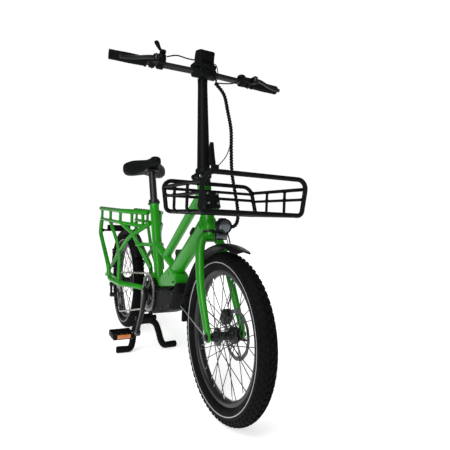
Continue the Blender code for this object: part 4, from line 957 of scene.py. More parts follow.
@dataclass
class Drivetrain(Assembly):
    """Chain, chainring, cranks, pedals, sprockets and derailleur."""

    pitch: float = 0.0127
    ring_teeth: int = 40
    cogs: tuple[int, ...] = (12, 13, 15, 17, 19, 21, 23)

    def chain(self) -> None:
        """Outer and inner link plates in turn along the chain's line, with a roller at each pin."""
        line = chain_line()
        length = float(np.linalg.norm(np.diff(line, axis=0), axis=1).sum())
        count = 2 * round(length / self.pitch / 2)
        pins = resampled(line, count + 1)[:-1]
        runs = np.roll(pins, -1, 0) - pins
        turns = np.linspace(-90, 90, 5)
        right = [(self.pitch / 2 + 0.0041 * math.cos(math.radians(a)), 0.0041 * math.sin(math.radians(a)))
                 for a in turns]
        outline = right + [(0.0, 0.003)] + [(-x, -z) for x, z in right] + [(0.0, -0.003)]

        def plates(y: float) -> Patch:
            """Two flat figure-of-eight plates at either side of the chain."""
            flat = np.array(outline)
            pair = []
            for side in (-1, 1):
                rows = np.stack([np.insert(flat, 1, side * y + h, axis=1) for h in (-0.0005, 0.0005)])
                face = grid(rows, caps=False)
                face.ngons = [list(range(len(flat))), list(range(len(flat), 2 * len(flat)))[::-1]]
                pair.append(face.outward())
            return Patch.join(pair)

        roller = lathe([(0.0, -0.0034), (0.0019, -0.0034), (0.0019, 0.0034), (0.0, 0.0034)], (0, 0, 0),
                       Y_AXIS, 8)
        kinds = [plates(0.003), plates(0.0019)]
        loops, tail, rest = [], [], []
        for k, (pin, run) in enumerate(zip(pins, runs)):
            turn = turn_about(Y_AXIS, -math.atan2(run[2], run[0]))
            part = rest if pin[0] > 0.16 or pin[2] > 0.216 else tail if pin[0] > 0.06 else loops
            part += [kinds[k % 2].moved(pin + run / 2, turn), roller.moved(pin)]
        x = float(PULLEYS[0][0])
        self.add("chain_links", CHAIN_STEEL, rest, "chain")
        self.add("chain_links_tail", CHAIN_STEEL, tail,
                 body=Bend("frame", "cage", (0.17, CHAIN_Y, 0.12), (0.06, CHAIN_Y, 0.12)))
        self.add("chain_links_pulleys", CHAIN_STEEL, loops,
                 body=Bend("frame", "cage", (x, CHAIN_Y, 0.218), (x, CHAIN_Y, 0.196)))

    def sprockets(self) -> None:
        """Stack of toothed rings with spacers, smallest outside, and the lock ring."""
        ys = np.linspace(-0.0605, -0.0405, len(self.cogs))
        rings = [toothed_ring(REAR_AXLE, teeth * self.pitch / (2 * math.pi) + 0.0018, 0.015, teeth,
                              y - 0.0009, y + 0.0009)
                 for teeth, y in zip(self.cogs, ys)]
        spacer = [(0.015, -0.0385), (0.0205, -0.0385), (0.0205, -0.06), (0.015, -0.06)]
        self.add("sprocket_stack", CHAIN_STEEL, [
            *rings, hoop(spacer, REAR_AXLE, Y_AXIS, 32),
            lathe([(0.015, -0.06), (0.02, -0.06), (0.0195, -0.0622), (0.015, -0.0622), (0.015, -0.06)],
                  REAR_AXLE, Y_AXIS, 32)], "cassette", body="sprockets")

    def crank(self, sign: int) -> None:
        """One arm with its pin; the right one carries the spindle, the spider and the chainring."""
        name = "left" if sign > 0 else "right"
        reach = CRANK_REACH * -sign
        hub, end = BOTTOM_BRACKET + Y_AXIS * sign * 0.065, BOTTOM_BRACKET + reach + Y_AXIS * sign * 0.095
        bend = np.stack([hub, hub + reach * 0.15 + Y_AXIS * sign * 0.001,
                         hub + reach * 0.55 + Y_AXIS * sign * 0.013,
                         hub + reach * 0.88 + Y_AXIS * sign * 0.028, end])
        path = smooth_path(bend, 28)
        across = np.cross(reach, Y_AXIS)
        section = superellipse(32, 4.0, 1.0, 0.6)
        parts = [
            tube(path, taper(28, [0, 0.1, 0.55, 0.9, 1], [0.0165, 0.016, 0.013, 0.0122, 0.0135]),
                 section=section, hint=across),
            lathe([(0.0, 0.056), (0.017, 0.056), (0.018, 0.0575), (0.018, 0.073), (0.0165, 0.0745),
                   (0.0105, 0.0745),
                   (0.01, 0.0725), (0.0, 0.0725)], BOTTOM_BRACKET, (0, sign, 0), 40),
            lathe([(0.0, 0.087), (0.014, 0.087), (0.015, 0.0885), (0.015, 0.1015), (0.0138, 0.103),
                   (0.0, 0.103)],
                  BOTTOM_BRACKET + reach, (0, sign, 0), 36),
        ]
        if sign < 0:
            parts.append(rod(BOTTOM_BRACKET + Y_AXIS * 0.05, BOTTOM_BRACKET - Y_AXIS * 0.07, 0.0122))
            for k in range(5):
                turn = math.radians(72 * k + 20 + 36)
                out = radial(turn)
                parts.append(rod(BOTTOM_BRACKET + out * 0.012 - Y_AXIS * 0.055,
                                 BOTTOM_BRACKET + out * 0.062 + Y_AXIS
                                 * CHAIN_Y, 0.0088, 0.0068, section=superellipse(20, 4.0, 1.0, 0.42),
                                 hint=np.cross(out, Y_AXIS)))
            parts.append(toothed_ring(BOTTOM_BRACKET, 0.0744, 0.06, 20, CHAIN_Y - 0.0014, CHAIN_Y + 0.0014,
                                      0.0004))
        self.add("crank_arm_" + name, BLACK_ANODISED, parts, "crank_" + name, body="cranks")
        steel = [rod(BOTTOM_BRACKET + reach + Y_AXIS * sign * 0.1,
                     BOTTOM_BRACKET + reach + Y_AXIS * sign * 0.204, 0.0058),
                 bolt(BOTTOM_BRACKET + Y_AXIS * sign * 0.0722, (0, sign, 0), 0.0095, 0.003)]
        if sign < 0:
            steel.append(toothed_ring(BOTTOM_BRACKET, 0.0836, 0.0742, self.ring_teeth, CHAIN_Y - 0.001,
                                      CHAIN_Y + 0.001))
            steel += [bolt(BOTTOM_BRACKET + 0.069 * radial(t) - Y_AXIS * 0.0548, (0, -1, 0), 0.0042,
                           0.002) for t in np.radians(72 * np.arange(5) + 56)]
        self.add("crank_steel_" + name, CHAIN_STEEL, steel, body="cranks")

    def pedal(self, sign: int) -> None:
        """Platform pedal: barrel, rails, end plates, ribs, grip pins and reflectors."""
        name, body = ("left", "pedal_l") if sign > 0 else ("right", "pedal_r")
        centre = BOTTOM_BRACKET - CRANK_REACH * sign + Y_AXIS * sign * 0.165
        self.add("pedal_body_" + name, NYLON, [
            *[rounded_box(centre + (x, 0, 0), (0.0095, 0.088, 0.025), 0.003) for x in (-0.0395, 0.0395)],
            *[rounded_box(centre + (0, y, 0), (0.078, 0.008, 0.0235), 0.003) for y in (-0.04, 0.04)],
            *[rounded_box(centre + (0, y, 0), (0.078, 0.0045, 0.017), 0.002) for y in (-0.02, 0.02)],
            lathe([(0.0068, -0.0435), (0.0125, -0.0435), (0.0125, 0.0405), (0.0105, 0.044), (0.0068, 0.044),
                   (0.0068, -0.0435)], centre, Y_AXIS, 32),
        ], "pedal_" + name, body=body)
        self.add("pedal_reflectors_" + name, AMBER_ACRYLIC, [
            rounded_box(centre + (x, 0, 0), (0.003, 0.056, 0.017), 0.0012) for x in (-0.044, 0.044)],
            body=body)
        self.add("pedal_grip_pins_" + name, ZINC_STEEL, [
            bolt(centre + (x, y, z * 0.012), (0, 0, z), 0.0016, 0.0015) for z in (-1, 1)
            for x in (-0.0395, 0.0395)
            for y in (-0.034, -0.012, 0.012, 0.034)], body=body)

    def derailleur(self) -> None:
        """Hanger, knuckles and link, then the cage with its two pulleys on its own body."""
        knuckle = [(0.0, 0.0757), (0.0095, 0.0757), (0.011, 0.0775), (0.011, 0.0985), (0.0095, 0.1),
                   (0.0, 0.1)]
        lower = [(0.0, 0.064), (0.0105, 0.064), (0.012, 0.0655), (0.012, 0.0985), (0.0105, 0.1), (0.0, 0.1)]
        hanger = [(-0.01, 0.262), (0.012, 0.262), (0.016, 0.232), (-0.004, 0.23)]
        self.add("derailleur_link", BLACK_ANODISED, [
            lathe(knuckle, (0.006, 0, 0.242), -Y_AXIS, 32), lathe(lower, (0.02, 0, 0.185), -Y_AXIS, 32),
            rod((0.006, -0.0915, 0.24), (0.018, -0.0915, 0.19), 0.0105, 0.0095,
                section=superellipse(28, 4, 1, 0.62)),
            slab(hanger, -0.0757, -0.07, 0.001, 0.003),
        ], "derailleur_body")
        cage = []
        for y in (CHAIN_Y - 0.0088, CHAIN_Y + 0.0068):
            turns = [(PULLEYS[0], np.radians(np.linspace(-25, 155, 12)), 0.0125),
                     (PULLEYS[1], np.radians(np.linspace(155, 335, 12)), 0.0115)]
            outline = [(p[0] + r * math.cos(a), p[2] + r * math.sin(a)) for p, angles,
                       r in turns for a in angles]
            cage.append(slab(outline, y, y + 0.002, 0.0006))
        self.add("derailleur_cage_plates", BLACK_ANODISED, cage, "derailleur_cage", body="cage")
        self.add("derailleur_pulleys", NYLON, [
            toothed_ring(p, 0.0182, 0.005, 11, CHAIN_Y - 0.0011, CHAIN_Y + 0.0011, 0.003) for p in PULLEYS],
            body="cage")
        self.add("derailleur_pins", ZINC_STEEL, [
            *[rod(p * (1, 0, 1) + Y_AXIS * (CHAIN_Y - 0.01), p * (1, 0, 1) + Y_AXIS * (CHAIN_Y + 0.0095),
                  0.0048)
              for p in PULLEYS]], body="cage")

    def build(self) -> None:
        """Makes the whole drivetrain."""
        self.chain()
        self.sprockets()
        self.derailleur()
        for sign in (-1, 1):
            self.crank(sign)
            self.pedal(sign)


@dataclass
class Wheel(Assembly):
    """A wheel: tyre with blocks and a reflective line, rim, crossed spokes, hub and brake disc.

    Attributes:
        name: front or rear.
        centre: Middle of the axle.
        hub_r: Radius of the hub's shell.
        half_left: Left end of the hub.
        half_right: Right end of the hub.
        disc_y: Place of the brake disc.
    """

    name: str = "front"
    centre: Array = field(default_factory=lambda: FRONT_AXLE)
    hub_r: float = 0.016
    half_left: float = 0.049
    half_right: float = 0.049
    disc_y: float = 0.04
    blocks: int = 72
    section_mid: float = 0.2295
    section_r: float = 0.0279
    spokes: int = 32
    flange_y: float = 0.026
    profile: tuple[tuple[float, float], ...] = ((0.2035, 0.0148), (0.2065, 0.0192), (0.212, 0.0236),
                                                (0.219, 0.0266),
                                                (0.226, 0.0279), (0.233, 0.0278), (0.24, 0.0266),
                                                (0.247, 0.0232),
                                                (0.2525, 0.0175), (0.256, 0.01), (0.2574, 0.0))

    def tyre(self) -> None:
        """Carcass, a middle and three outer rows of tread blocks, and the reflective line on both walls."""
        half = [(r - 0.05 * max(r - self.section_mid, 0), y) for r, y in self.profile]
        ring = half + [(r, -y) for r, y in half[-2::-1]]
        self.add(self.name + "_tyre_carcass", SIDEWALL_RUBBER, [hoop(ring, self.centre, Y_AXIS, 96)],
                 self.name + "_tyre", crease=60)
        pitch = 2 * math.pi / self.blocks
        rows = [(-9, 9, 0.0, 0.56, 0.0), (14, 32, 0.5, 0.54, 0.16), (38, 54, 0.0, 0.5, 0.1),
                (60, 74, 0.5, 0.46, 0.0)]
        blocks = []
        for low, high, phase, width, skew in rows:
            for sign in ((1,) if low < 0 else (1, -1)):
                across, along = np.linspace(low, high, 3), (np.array([-0.5, 0.5]) * width + phase) * pitch
                layers = []
                for lift, shrink in ((-0.0026, 1.0), (0.0018, 0.95), (0.0026, 0.84)):
                    tilt = np.radians(across.mean() + (across - across.mean()) * shrink)
                    reach = self.section_r + lift
                    y, radius = sign * reach * np.sin(tilt), self.section_mid + reach * np.cos(tilt)
                    turn = along.mean() + (along - along.mean()) * shrink
                    lean = skew * pitch * np.linspace(-1, 1, 3)
                    loop = [(turn[0] + lean[i], y[i], radius[i]) for i in range(3)]
                    loop += [(turn[1] + lean[i], y[i], radius[i]) for i in (2, 1, 0)]
                    layers.append([(r * math.cos(t), w, r * math.sin(t)) for t, w, r in loop])
                blocks += spun(grid(np.array(layers)).moved(self.centre), self.centre, self.blocks)
        self.add(self.name + "_tyre_tread", TREAD_RUBBER, blocks, crease=25)
        stripe = [(r, y + 0.0006) for r, y in half if 0.218 < r < 0.234]
        under = [(r, y - 0.0006) for r, y in stripe[::-1]]
        loop = stripe + under + stripe[:1]
        self.add(self.name + "_tyre_reflective_line", REFLEX_TAPE, [
            lathe([(0.2246 + (r - 0.219) * 0.26, s * y) for r, y in loop], self.centre, Y_AXIS, 96)
            for s in (-1, 1)])

    def rim(self) -> None:
        """Deep rim and the valve."""
        section = [(0.2042, 0.0148), (0.2052, 0.0138), (0.203, 0.0115), (0.198, 0.0105), (0.198, -0.0105),
                   (0.203, -0.0115), (0.2052, -0.0138), (0.2042, -0.0148), (0.1985, -0.0152),
                   (0.1905, -0.0122),
                   (0.1868, -0.0062), (0.1862, 0.0), (0.1868, 0.0062), (0.1905, 0.0122), (0.1985, 0.0152)]
        self.add(self.name + "_rim_ring", BLACK_ANODISED, [hoop(section, self.centre, Y_AXIS, 128)],
                 self.name + "_rim")
        turn = math.radians(205)
        out = radial(turn)
        self.add(self.name + "_valve", ZINC_STEEL, [rod(self.centre + out * 0.187, self.centre + out * 0.156,
                                                        0.003, 0.0026, 14)])

    def hub(self) -> None:
        """Hub shell with flanges, crossed spokes with nipples, and the brake disc with its arms."""
        r, fy, flange = self.hub_r, self.flange_y, self.hub_r + 0.012
        shell = [(0.0064, self.half_left), (r * 0.7, self.half_left), (r * 0.74, self.half_left - 0.002),
                 (r, fy + 0.006),
                 (flange - 0.001, fy + 0.0022), (flange, fy + 0.0012), (flange, fy - 0.0012),
                 (flange - 0.001, fy - 0.0022),
                 (r + 0.001, fy - 0.007), (r * 0.86, fy - 0.014), (r * 0.86, 0.014 - fy),
                 (r + 0.001, 0.007 - fy),
                 (flange - 0.001, 0.0022 - fy), (flange, 0.0012 - fy), (flange, -0.0012 - fy),
                 (flange - 0.001, -0.0022 - fy),
                 (r, -fy - 0.004), (r * 0.74, 0.001 - self.half_right), (0.0064, -self.half_right)]
        self.add(self.name + "_hub_shell", BLACK_ANODISED, [hoop(shell, self.centre, Y_AXIS, 48)],
                 self.name + "_hub")
        wires, nipples = [], []
        for k in range(self.spokes):
            side = 1 if k % 2 else -1
            lead = 1 if (k // 2) % 2 else -1
            turn = 2 * math.pi * (k + 0.5) / self.spokes
            root = turn + lead * math.radians(62)
            outer = self.centre + (math.cos(turn) * 0.188, side * 0.0032, math.sin(turn) * 0.188)
            inner = self.centre + (math.cos(root) * (flange - 0.0032), side * fy + lead * 0.0022,
                                   math.sin(root) * (flange - 0.0032))
            run = (outer - inner) / np.linalg.norm(outer - inner)
            wires.append(rod(inner, outer, 0.0013, sides=8))
            wires.append(rounded_box(inner, (0.0036, 0.0036, 0.0036), 0.0014, steps=2))
            nipples.append(rod(outer - run * 0.012, outer, 0.0019, 0.0023, sides=8))
        self.add(self.name + "_spokes", SPOKE_STEEL, wires)
        self.add(self.name + "_nipples", ZINC_STEEL, nipples)
        turns = full_turn(240)
        wave = 0.0008 * np.cos(12 * turns)
        y = self.disc_y + np.array([-0.0009, -0.0009, 0.0009, 0.0009])
        radius = np.stack([0.0662 + wave, 0.0792 + wave, 0.0792 + wave, 0.0662 + wave], -1)
        band = np.stack([radius * np.cos(turns)[:, None], np.broadcast_to(y, radius.shape),
                         radius * np.sin(turns)[:, None]], -1)
        arms = []
        for k in range(6):
            a = math.radians(60 * k)
            start = radial(a - 0.5) * 0.02
            stop = radial(a) * 0.065
            arms.append(rod(self.centre + start + Y_AXIS * self.disc_y,
                            self.centre + stop + Y_AXIS * self.disc_y, 0.0042, 0.0034,
                            section=superellipse(16, 6, 1.0, 0.2), hint=np.cross(stop, Y_AXIS)))
        self.add(self.name + "_brake_disc", DISC_STEEL, [grid(band + self.centre, wrap_u=True), *arms])
        carrier = [(self.hub_r * 0.75, -0.0028), (0.0245, -0.0024), (0.0255, 0.0), (0.0245, 0.0024),
                   (self.hub_r * 0.75, 0.0028)]
        holes = [bolt(self.centre + 0.02 * radial(t) + Y_AXIS * (self.disc_y + 0.0022), Y_AXIS,
                      0.0026, 0.0016) for t in np.radians(60 * np.arange(6))]
        self.add(self.name + "_disc_carrier", BLACK_ANODISED, [
            lathe([(r, h + self.disc_y) for r, h in carrier + carrier[:1]], self.centre, Y_AXIS, 48), *holes])

    def build(self) -> None:
        """Makes the tyre, rim and hub."""
        self.tyre()
        self.rim()
        self.hub()


@dataclass
class Mudguards(Assembly):
    """A curved guard with rolled edges, its stays and their clips and eyes.

    Attributes:
        name: front or rear.
        centre: Middle of the wheel.
        start: Where it begins, in degrees up from straight ahead.
        stop: Where it ends.
    """

    name: str = "front"
    centre: Array = field(default_factory=lambda: FRONT_AXLE)
    start: float = 71.0
    stop: float = 178.0
    half_width: float = 0.0325
    crown_r: float = 0.2846

    def strip(self, start: float, stop: float, half: float, lift: float = 0.0) -> Patch:
        """The guard's sheet: radius = crown - lip * |y / half| ^ 3 + a low raised line down its middle."""
        y = np.linspace(-half, half, 25)
        outer = self.crown_r + lift - 0.0085 * np.abs(y / half) ** 3 + 0.0006 * np.exp(-(y / 0.004) ** 2)
        turns = np.radians(np.linspace(start, stop, 90))
        ends = np.minimum(1, np.minimum(np.arange(90), np.arange(89, -1, -1)) / 3) ** 0.5 * 0.25 + 0.75
        section = np.concatenate([np.stack([y, outer], -1), np.stack([y, outer - 0.002], -1)[::-1]])
        points = np.stack([section[None, :, 1] * np.cos(turns)[:, None], section[None, :, 0] * ends[:, None],
                           section[None, :, 1] * np.sin(turns)[:, None]], -1)
        return grid(points + self.centre)

    def build(self) -> None:
        """Makes the sheet and the fittings of this end of the bicycle."""
        parts = [self.strip(self.start, self.stop, self.half_width)]
        if self.name == "front":
            parts.append(self.strip(self.stop - 14, self.stop + 6, self.half_width * 1.04, 0.001))
            stays = [[(1.165, s * 0.0475, 0.245), (0.913, s * 0.04, 0.3), (0.9085, s * 0.03, 0.3)]
                     for s in (-1, 1)]
            finish = ZINC_STEEL
        else:
            stays = [[(-0.03, s * 0.064, 0.285), (-0.225, s * 0.04, 0.414), (-0.223, s * 0.03, 0.418)]
                     for s in (-1, 1)]
            finish = BLACK_COAT
        self.add(self.name + "_guard_sheet", MUDGUARD_PP, parts, self.name + "_mudguard")
        self.add(self.name + "_guard_stays", finish, [tube(rounded(s, 0.008), 0.0021, 12) for s in stays])
        clips = [rounded_box(np.array(s[1]) + (0.001, -np.sign(s[1][1]) * 0.004, 0), (0.012, 0.009, 0.012),
                             0.003)
                 for s in stays]
        eyes = [lathe([(0.0, -0.003), (0.0062, -0.003), (0.0062, 0.003), (0.0, 0.003)], s[0], Y_AXIS, 20)
                for s in stays]
        self.add(self.name + "_guard_clips", NYLON, clips + eyes)


@dataclass
class ForkAndLamp(Assembly):
    """Fork, front brake, headlamp and the headset with the folding hinge's lower half."""

    body: str = "steering"

    def build(self) -> None:
        """Makes the pieces that turn with the fork."""
        legs = []
        for sign in (-1, 1):
            path = smooth_path([steer(-0.012, 0.0, sign * 0.006), steer(-0.022, 0.001, sign * 0.023),
                                steer(-0.046, 0.004, sign * 0.0375), steer(-0.1, 0.009, sign * 0.048),
                                steer(-0.2, 0.016, sign * 0.057), FRONT_AXLE + (0, sign * 0.061, 0.014)], 40)
            legs.append(tube(path, taper(40, [0, 0.3, 1], [0.0172, 0.0158, 0.0105]), 36,
                             section=circle(36) * (1.0, 0.9), hint=X_AXIS))
            legs.append(slab([(1.168, 0.286), (1.172, 0.25), (1.186, 0.243), (1.2, 0.25), (1.198, 0.286)],
                             sign * 0.056,
                             sign * 0.0635, 0.0015, 0.005))
        tilt = turn_about(Y_AXIS, -math.acos(STEER_AXIS[2]))
        crown = rounded_box(steer(-0.02), (0.04, 0.06, 0.03), 0.0145, tilt, 6)
        neck = [(0.0, -0.02), (0.0235, -0.018), (0.0225, -0.008), (0.021, -0.0045), (0.0, -0.0045)]
        self.add("fork_legs", GREEN_COAT, [*legs, crown, lathe(neck, HEAD_BOTTOM, STEER_AXIS, 48),
                                           rod(steer(-0.01), steer(HEAD_LENGTH - 0.001), 0.0157)], "fork",
                                           crease=32)
        race = [(0.0165, -0.005), (0.0246, -0.005), (0.025, -0.003), (0.024, 0.0014), (0.0165, 0.0014)]
        cup = [(0.0165, 0.1682), (0.0246, 0.1682), (0.025, 0.171), (0.0246, 0.1765), (0.0232, 0.178),
               (0.0245, 0.1795),
               (0.0245, 0.19), (0.0225, 0.192), (0.0165, 0.192)]
        self.add("headset_cups", BLACK_ANODISED, [
            hoop(race, HEAD_BOTTOM, STEER_AXIS, 48), hoop(cup, HEAD_BOTTOM, STEER_AXIS, 48)])
        self.add("stem_hinge_base", BLACK_COAT, [
            rod((0.948, -0.024, 0.765), (1.008, -0.024, 0.765), 0.0076),
            rounded_box((0.98, -0.018, 0.756), (0.046, 0.018, 0.014), 0.004),
        ], "stem_base")
        self.add("hinge_pin", ZINC_STEEL, [
            lathe([(0.0, 0.0), (0.0052, 0.0), (0.0052, 0.0022), (0.004, 0.0034), (0.0, 0.0036)],
                  (1.0078, -0.024, 0.765), X_AXIS, 24),
            *[bolt((1.172, s * 0.064, 0.26), (0, s, 0), 0.003) for s in (-1, 1)]])
        axle = [(0.0, 0.0), (0.0125, 0.0), (0.0125, 0.002), (0.0088, 0.0028), (0.0088, 0.0075),
                (0.0056, 0.0082), (0.0, 0.0084)]
        self.add("front_axle_nuts", BLACK_ANODISED, [
            *[lathe(axle, FRONT_AXLE + Y_AXIS * s * 0.0636, (0, s, 0), 24) for s in (-1, 1)],
            rod(FRONT_AXLE - Y_AXIS * 0.064, FRONT_AXLE + Y_AXIS * 0.064, 0.0057)])
        lamp = np.array([1.148, 0.0, 0.598])
        aim = np.array([0.046, 0, -0.005])
        shell = [(0.0, -0.034), (0.012, -0.0335), (0.0165, -0.03), (0.02, -0.018), (0.0236, 0.002),
                 (0.0245, 0.008),
                 (0.024, 0.0115), (0.0222, 0.012), (0.0215, 0.0085), (0.0, 0.0085)]
        self.add("headlamp_shell", NYLON, [
            lathe(shell, lamp, aim, 56), rounded_box((1.108, 0.0, 0.5775), (0.066, 0.012, 0.012), 0.003),
            rounded_box((1.133, 0.0, 0.573), (0.01, 0.02, 0.036), 0.003),
            rounded_box((1.134, 0.0, 0.5655), (0.008, 0.043, 0.024), 0.003),
            *[rounded_box(lamp + (-0.02 + 0.008 * k, 0, 0.0215 + 0.0008 * k), (0.003, 0.02, 0.005), 0.0012)
              for k in range(3)],
        ], "headlamp")
        self.add("headlamp_lens", LENS_CLEAR, [
            lathe([(0.0, 0.0128), (0.01, 0.0124), (0.0185, 0.0108), (0.0214, 0.0088), (0.0214, 0.007),
                   (0.0, 0.007)], lamp, aim, 48),
            rounded_box((1.139, 0.0, 0.5655), (0.006, 0.038, 0.0195), 0.002)])
        Caliper(self.body, "front", np.array([1.116, 0.044, 0.301]), FRONT_AXLE, 0.04).build()
        hose = [(1.103, 0.05, 0.33), (1.096, 0.064, 0.37), (1.085, 0.072, 0.44), (1.066, 0.074, 0.52),
                (1.047, 0.072, 0.565), (1.032, 0.07, 0.59)]
        wire = [(1.112, 0.01, 0.585), (1.095, 0.026, 0.601), (1.078, 0.04, 0.598), (1.065, 0.052, 0.57),
                (1.07, 0.07, 0.51)]
        self.add("fork_hose", CABLE_JACKET, [tube(smooth_path(hose, 50), 0.0024, 14)],
                 body=Bend("frame", "steering", (1.04, 0.07, 0.59), (1.066, 0.07, 0.51)))
        self.add("lamp_wire", CABLE_JACKET, [tube(smooth_path(wire, 40), 0.0014, 12)])


@dataclass
class Caliper(Assembly):
    """Disc brake caliper: two halves either side of the disc, bridge, bolts and hose fitting."""

    name: str = "front"
    centre: Array = field(default_factory=lambda: np.zeros(3))
    axle: Array = field(default_factory=lambda: np.zeros(3))
    disc_y: float = 0.04

    def build(self) -> None:
        """Makes the caliper, turned so that its mouth points to the axle."""
        inward = (self.axle - self.centre) * (1, 0, 1)
        turn = turn_about(Y_AXIS, math.atan2(-inward[2], inward[0]))
        halves = [rounded_box((0.001, s * 0.0088, 0), (0.031, 0.0122, 0.046), 0.0045) for s in (-1, 1)]
        bridge = rounded_box((-0.0115, 0.0, 0), (0.0095, 0.03, 0.044), 0.004)
        cap = lathe([(0.0, 0.0), (0.0105, 0.0), (0.0105, 0.002), (0.009, 0.0036), (0.0, 0.004)],
                    (0.004, 0.0148, 0), Y_AXIS, 28)
        place = np.array([self.centre[0], self.disc_y, self.centre[2]])
        self.add(self.name + "_caliper_body", BLACK_ANODISED,
                 [p.moved(place, turn) for p in (*halves, bridge, cap)], self.name + "_caliper")
        self.add(self.name + "_caliper_bolts", ZINC_STEEL, [
            bolt((-0.004, 0.0146, z), Y_AXIS, 0.003).moved(place, turn) for z in (-0.017, 0.017)])


@dataclass
class Handlepost(Assembly):
    """Folding post with its collar, latch, bar clamp and the cap with the display."""

    body: str = "handlepost"
    foot: tuple[float, float, float] = (0.979, 0.0, 0.783)
    top: tuple[float, float, float] = (0.94, 0.0, 1.118)

    def build(self) -> None:
        """Makes the post and what is fixed to it, and the latch on its own body."""
        collar = smooth_path([steer(0.1975), (0.98, 0, 0.776), (0.9772, 0, 0.7955)], 20)
        grow = taper(20, [0, 0.08, 0.85, 1.0], [0.027, 0.0288, 0.0286, 0.0245])
        ends = np.array([self.foot, self.top])
        path = resampled(ends, 30)
        radii = taper(30, [0, 0.06, 0.14, 0.93, 1], [0.0236, 0.0226, 0.022, 0.0174, 0.0182])
        clamp = [(0.0112, -0.044), (0.019, -0.044), (0.02, -0.0425), (0.02, 0.0385), (0.019, 0.04),
                 (0.0112, 0.04)]
        knuckles = [[(0.008, x), (0.0104, x), (0.0104, x + 0.013), (0.008, x + 0.013), (0.008, x)]
                    for x in (0.95, 0.993)]
        self.add("post_column", BLACK_COAT, [
            tube(collar, grow, 48), tube(path, radii, 48), hoop(clamp, BAR_CENTRE, Y_AXIS, 48),
            rounded_box(BAR_CENTRE + (0.015, 0, 0), (0.014, 0.05, 0.034), 0.004),
            rounded_box((1.013, 0.001, 0.786), (0.03, 0.0068, 0.0155), 0.002),
            *[lathe(k, (0, -0.024, 0.765), X_AXIS, 28) for k in knuckles],
            *[rounded_box((x + 0.0065, -0.0175, 0.773), (0.013, 0.014, 0.012), 0.003) for x in (0.95, 0.993)],
        ], "handlepost")
        self.add("post_bolts", BLACK_ANODISED, [
            bolt(BAR_CENTRE + (0.0215, y, z), X_AXIS, 0.0034) for y in (-0.018, 0.018)
            for z in (-0.011, 0.011)])
        rise = np.linspace(0, 1, 24)
        centre = np.stack([1.019 - 0.013 * rise - 0.003 * np.sin(np.pi * rise), 0.015 - 0.0005 * rise,
                           0.804 + 0.082 * rise], -1)
        wide = np.interp(rise, [0, 0.12, 0.55, 0.9, 1], [0.0125, 0.0125, 0.0105, 0.008, 0.0062])
        blade = [p * r for p, r in zip(np.repeat(superellipse(28, 3.5)[None], 24, 0), wide)]
        thick = np.interp(rise, [0, 0.5, 1], [0.0052, 0.0048, 0.004])
        rows = np.stack([np.stack([c[0] + t * b[:, 0] / w, c[1] + b[:, 1], np.full(28, c[2])], -1)
                         for c, b, t, w in zip(centre, blade, thick, wide)])
        self.add("latch_blade", BLACK_COAT, [
            grid(rows), rod((1.02, 0.005, 0.786), (1.02, 0.04, 0.786), 0.007),
            rounded_box((1.0225, 0.0225, 0.797), (0.011, 0.03, 0.022), 0.004),
        ], "latch_lever", body="latch")
        self.add("latch_pin", ZINC_STEEL, [bolt((1.02, 0.0398, 0.786), Y_AXIS, 0.0042)], body="latch")
        head = [(0.932, 1.161), (0.974, 1.16), (0.97, 1.185), (0.976, 1.212), (0.93, 1.222), (0.92, 1.19)]
        self.add("display_cap", NYLON, [
            rounded_box(BAR_CENTRE + (0.004, -0.006, 0.02), (0.044, 0.086, 0.016), 0.006),
            slab(head, -0.029, 0.031, 0.006, 0.008), rod(BAR_CENTRE + (0.0, 0, 0.016),
                                                         BAR_CENTRE + (0.0, 0, 0.028), 0.016),
            *[rounded_box((0.9735, 0.001, z), (0.004, 0.04, 0.0022), 0.001)
              for z in (1.17, 1.176, 1.2, 1.206)],
        ], "display_head")
        self.add("display_screen", DISPLAY_GLASS, [
            rounded_box((0.9247, 0.001, 1.205), (0.003, 0.05, 0.026), 0.0014, turn_about(Y_AXIS, 0.3))])


BAR_CENTRE = np.array([0.953, 0.0, 1.137])
GRIP_END = 0.329


def bar_point(y: float) -> Array:
    """Centre of the handlebar at y: it sweeps back and rises evenly towards its ends."""
    reach = max(abs(y) - 0.05, 0.0) / (GRIP_END - 0.05)
    return BAR_CENTRE + (-0.033 * reach, y, 0.008 * reach)


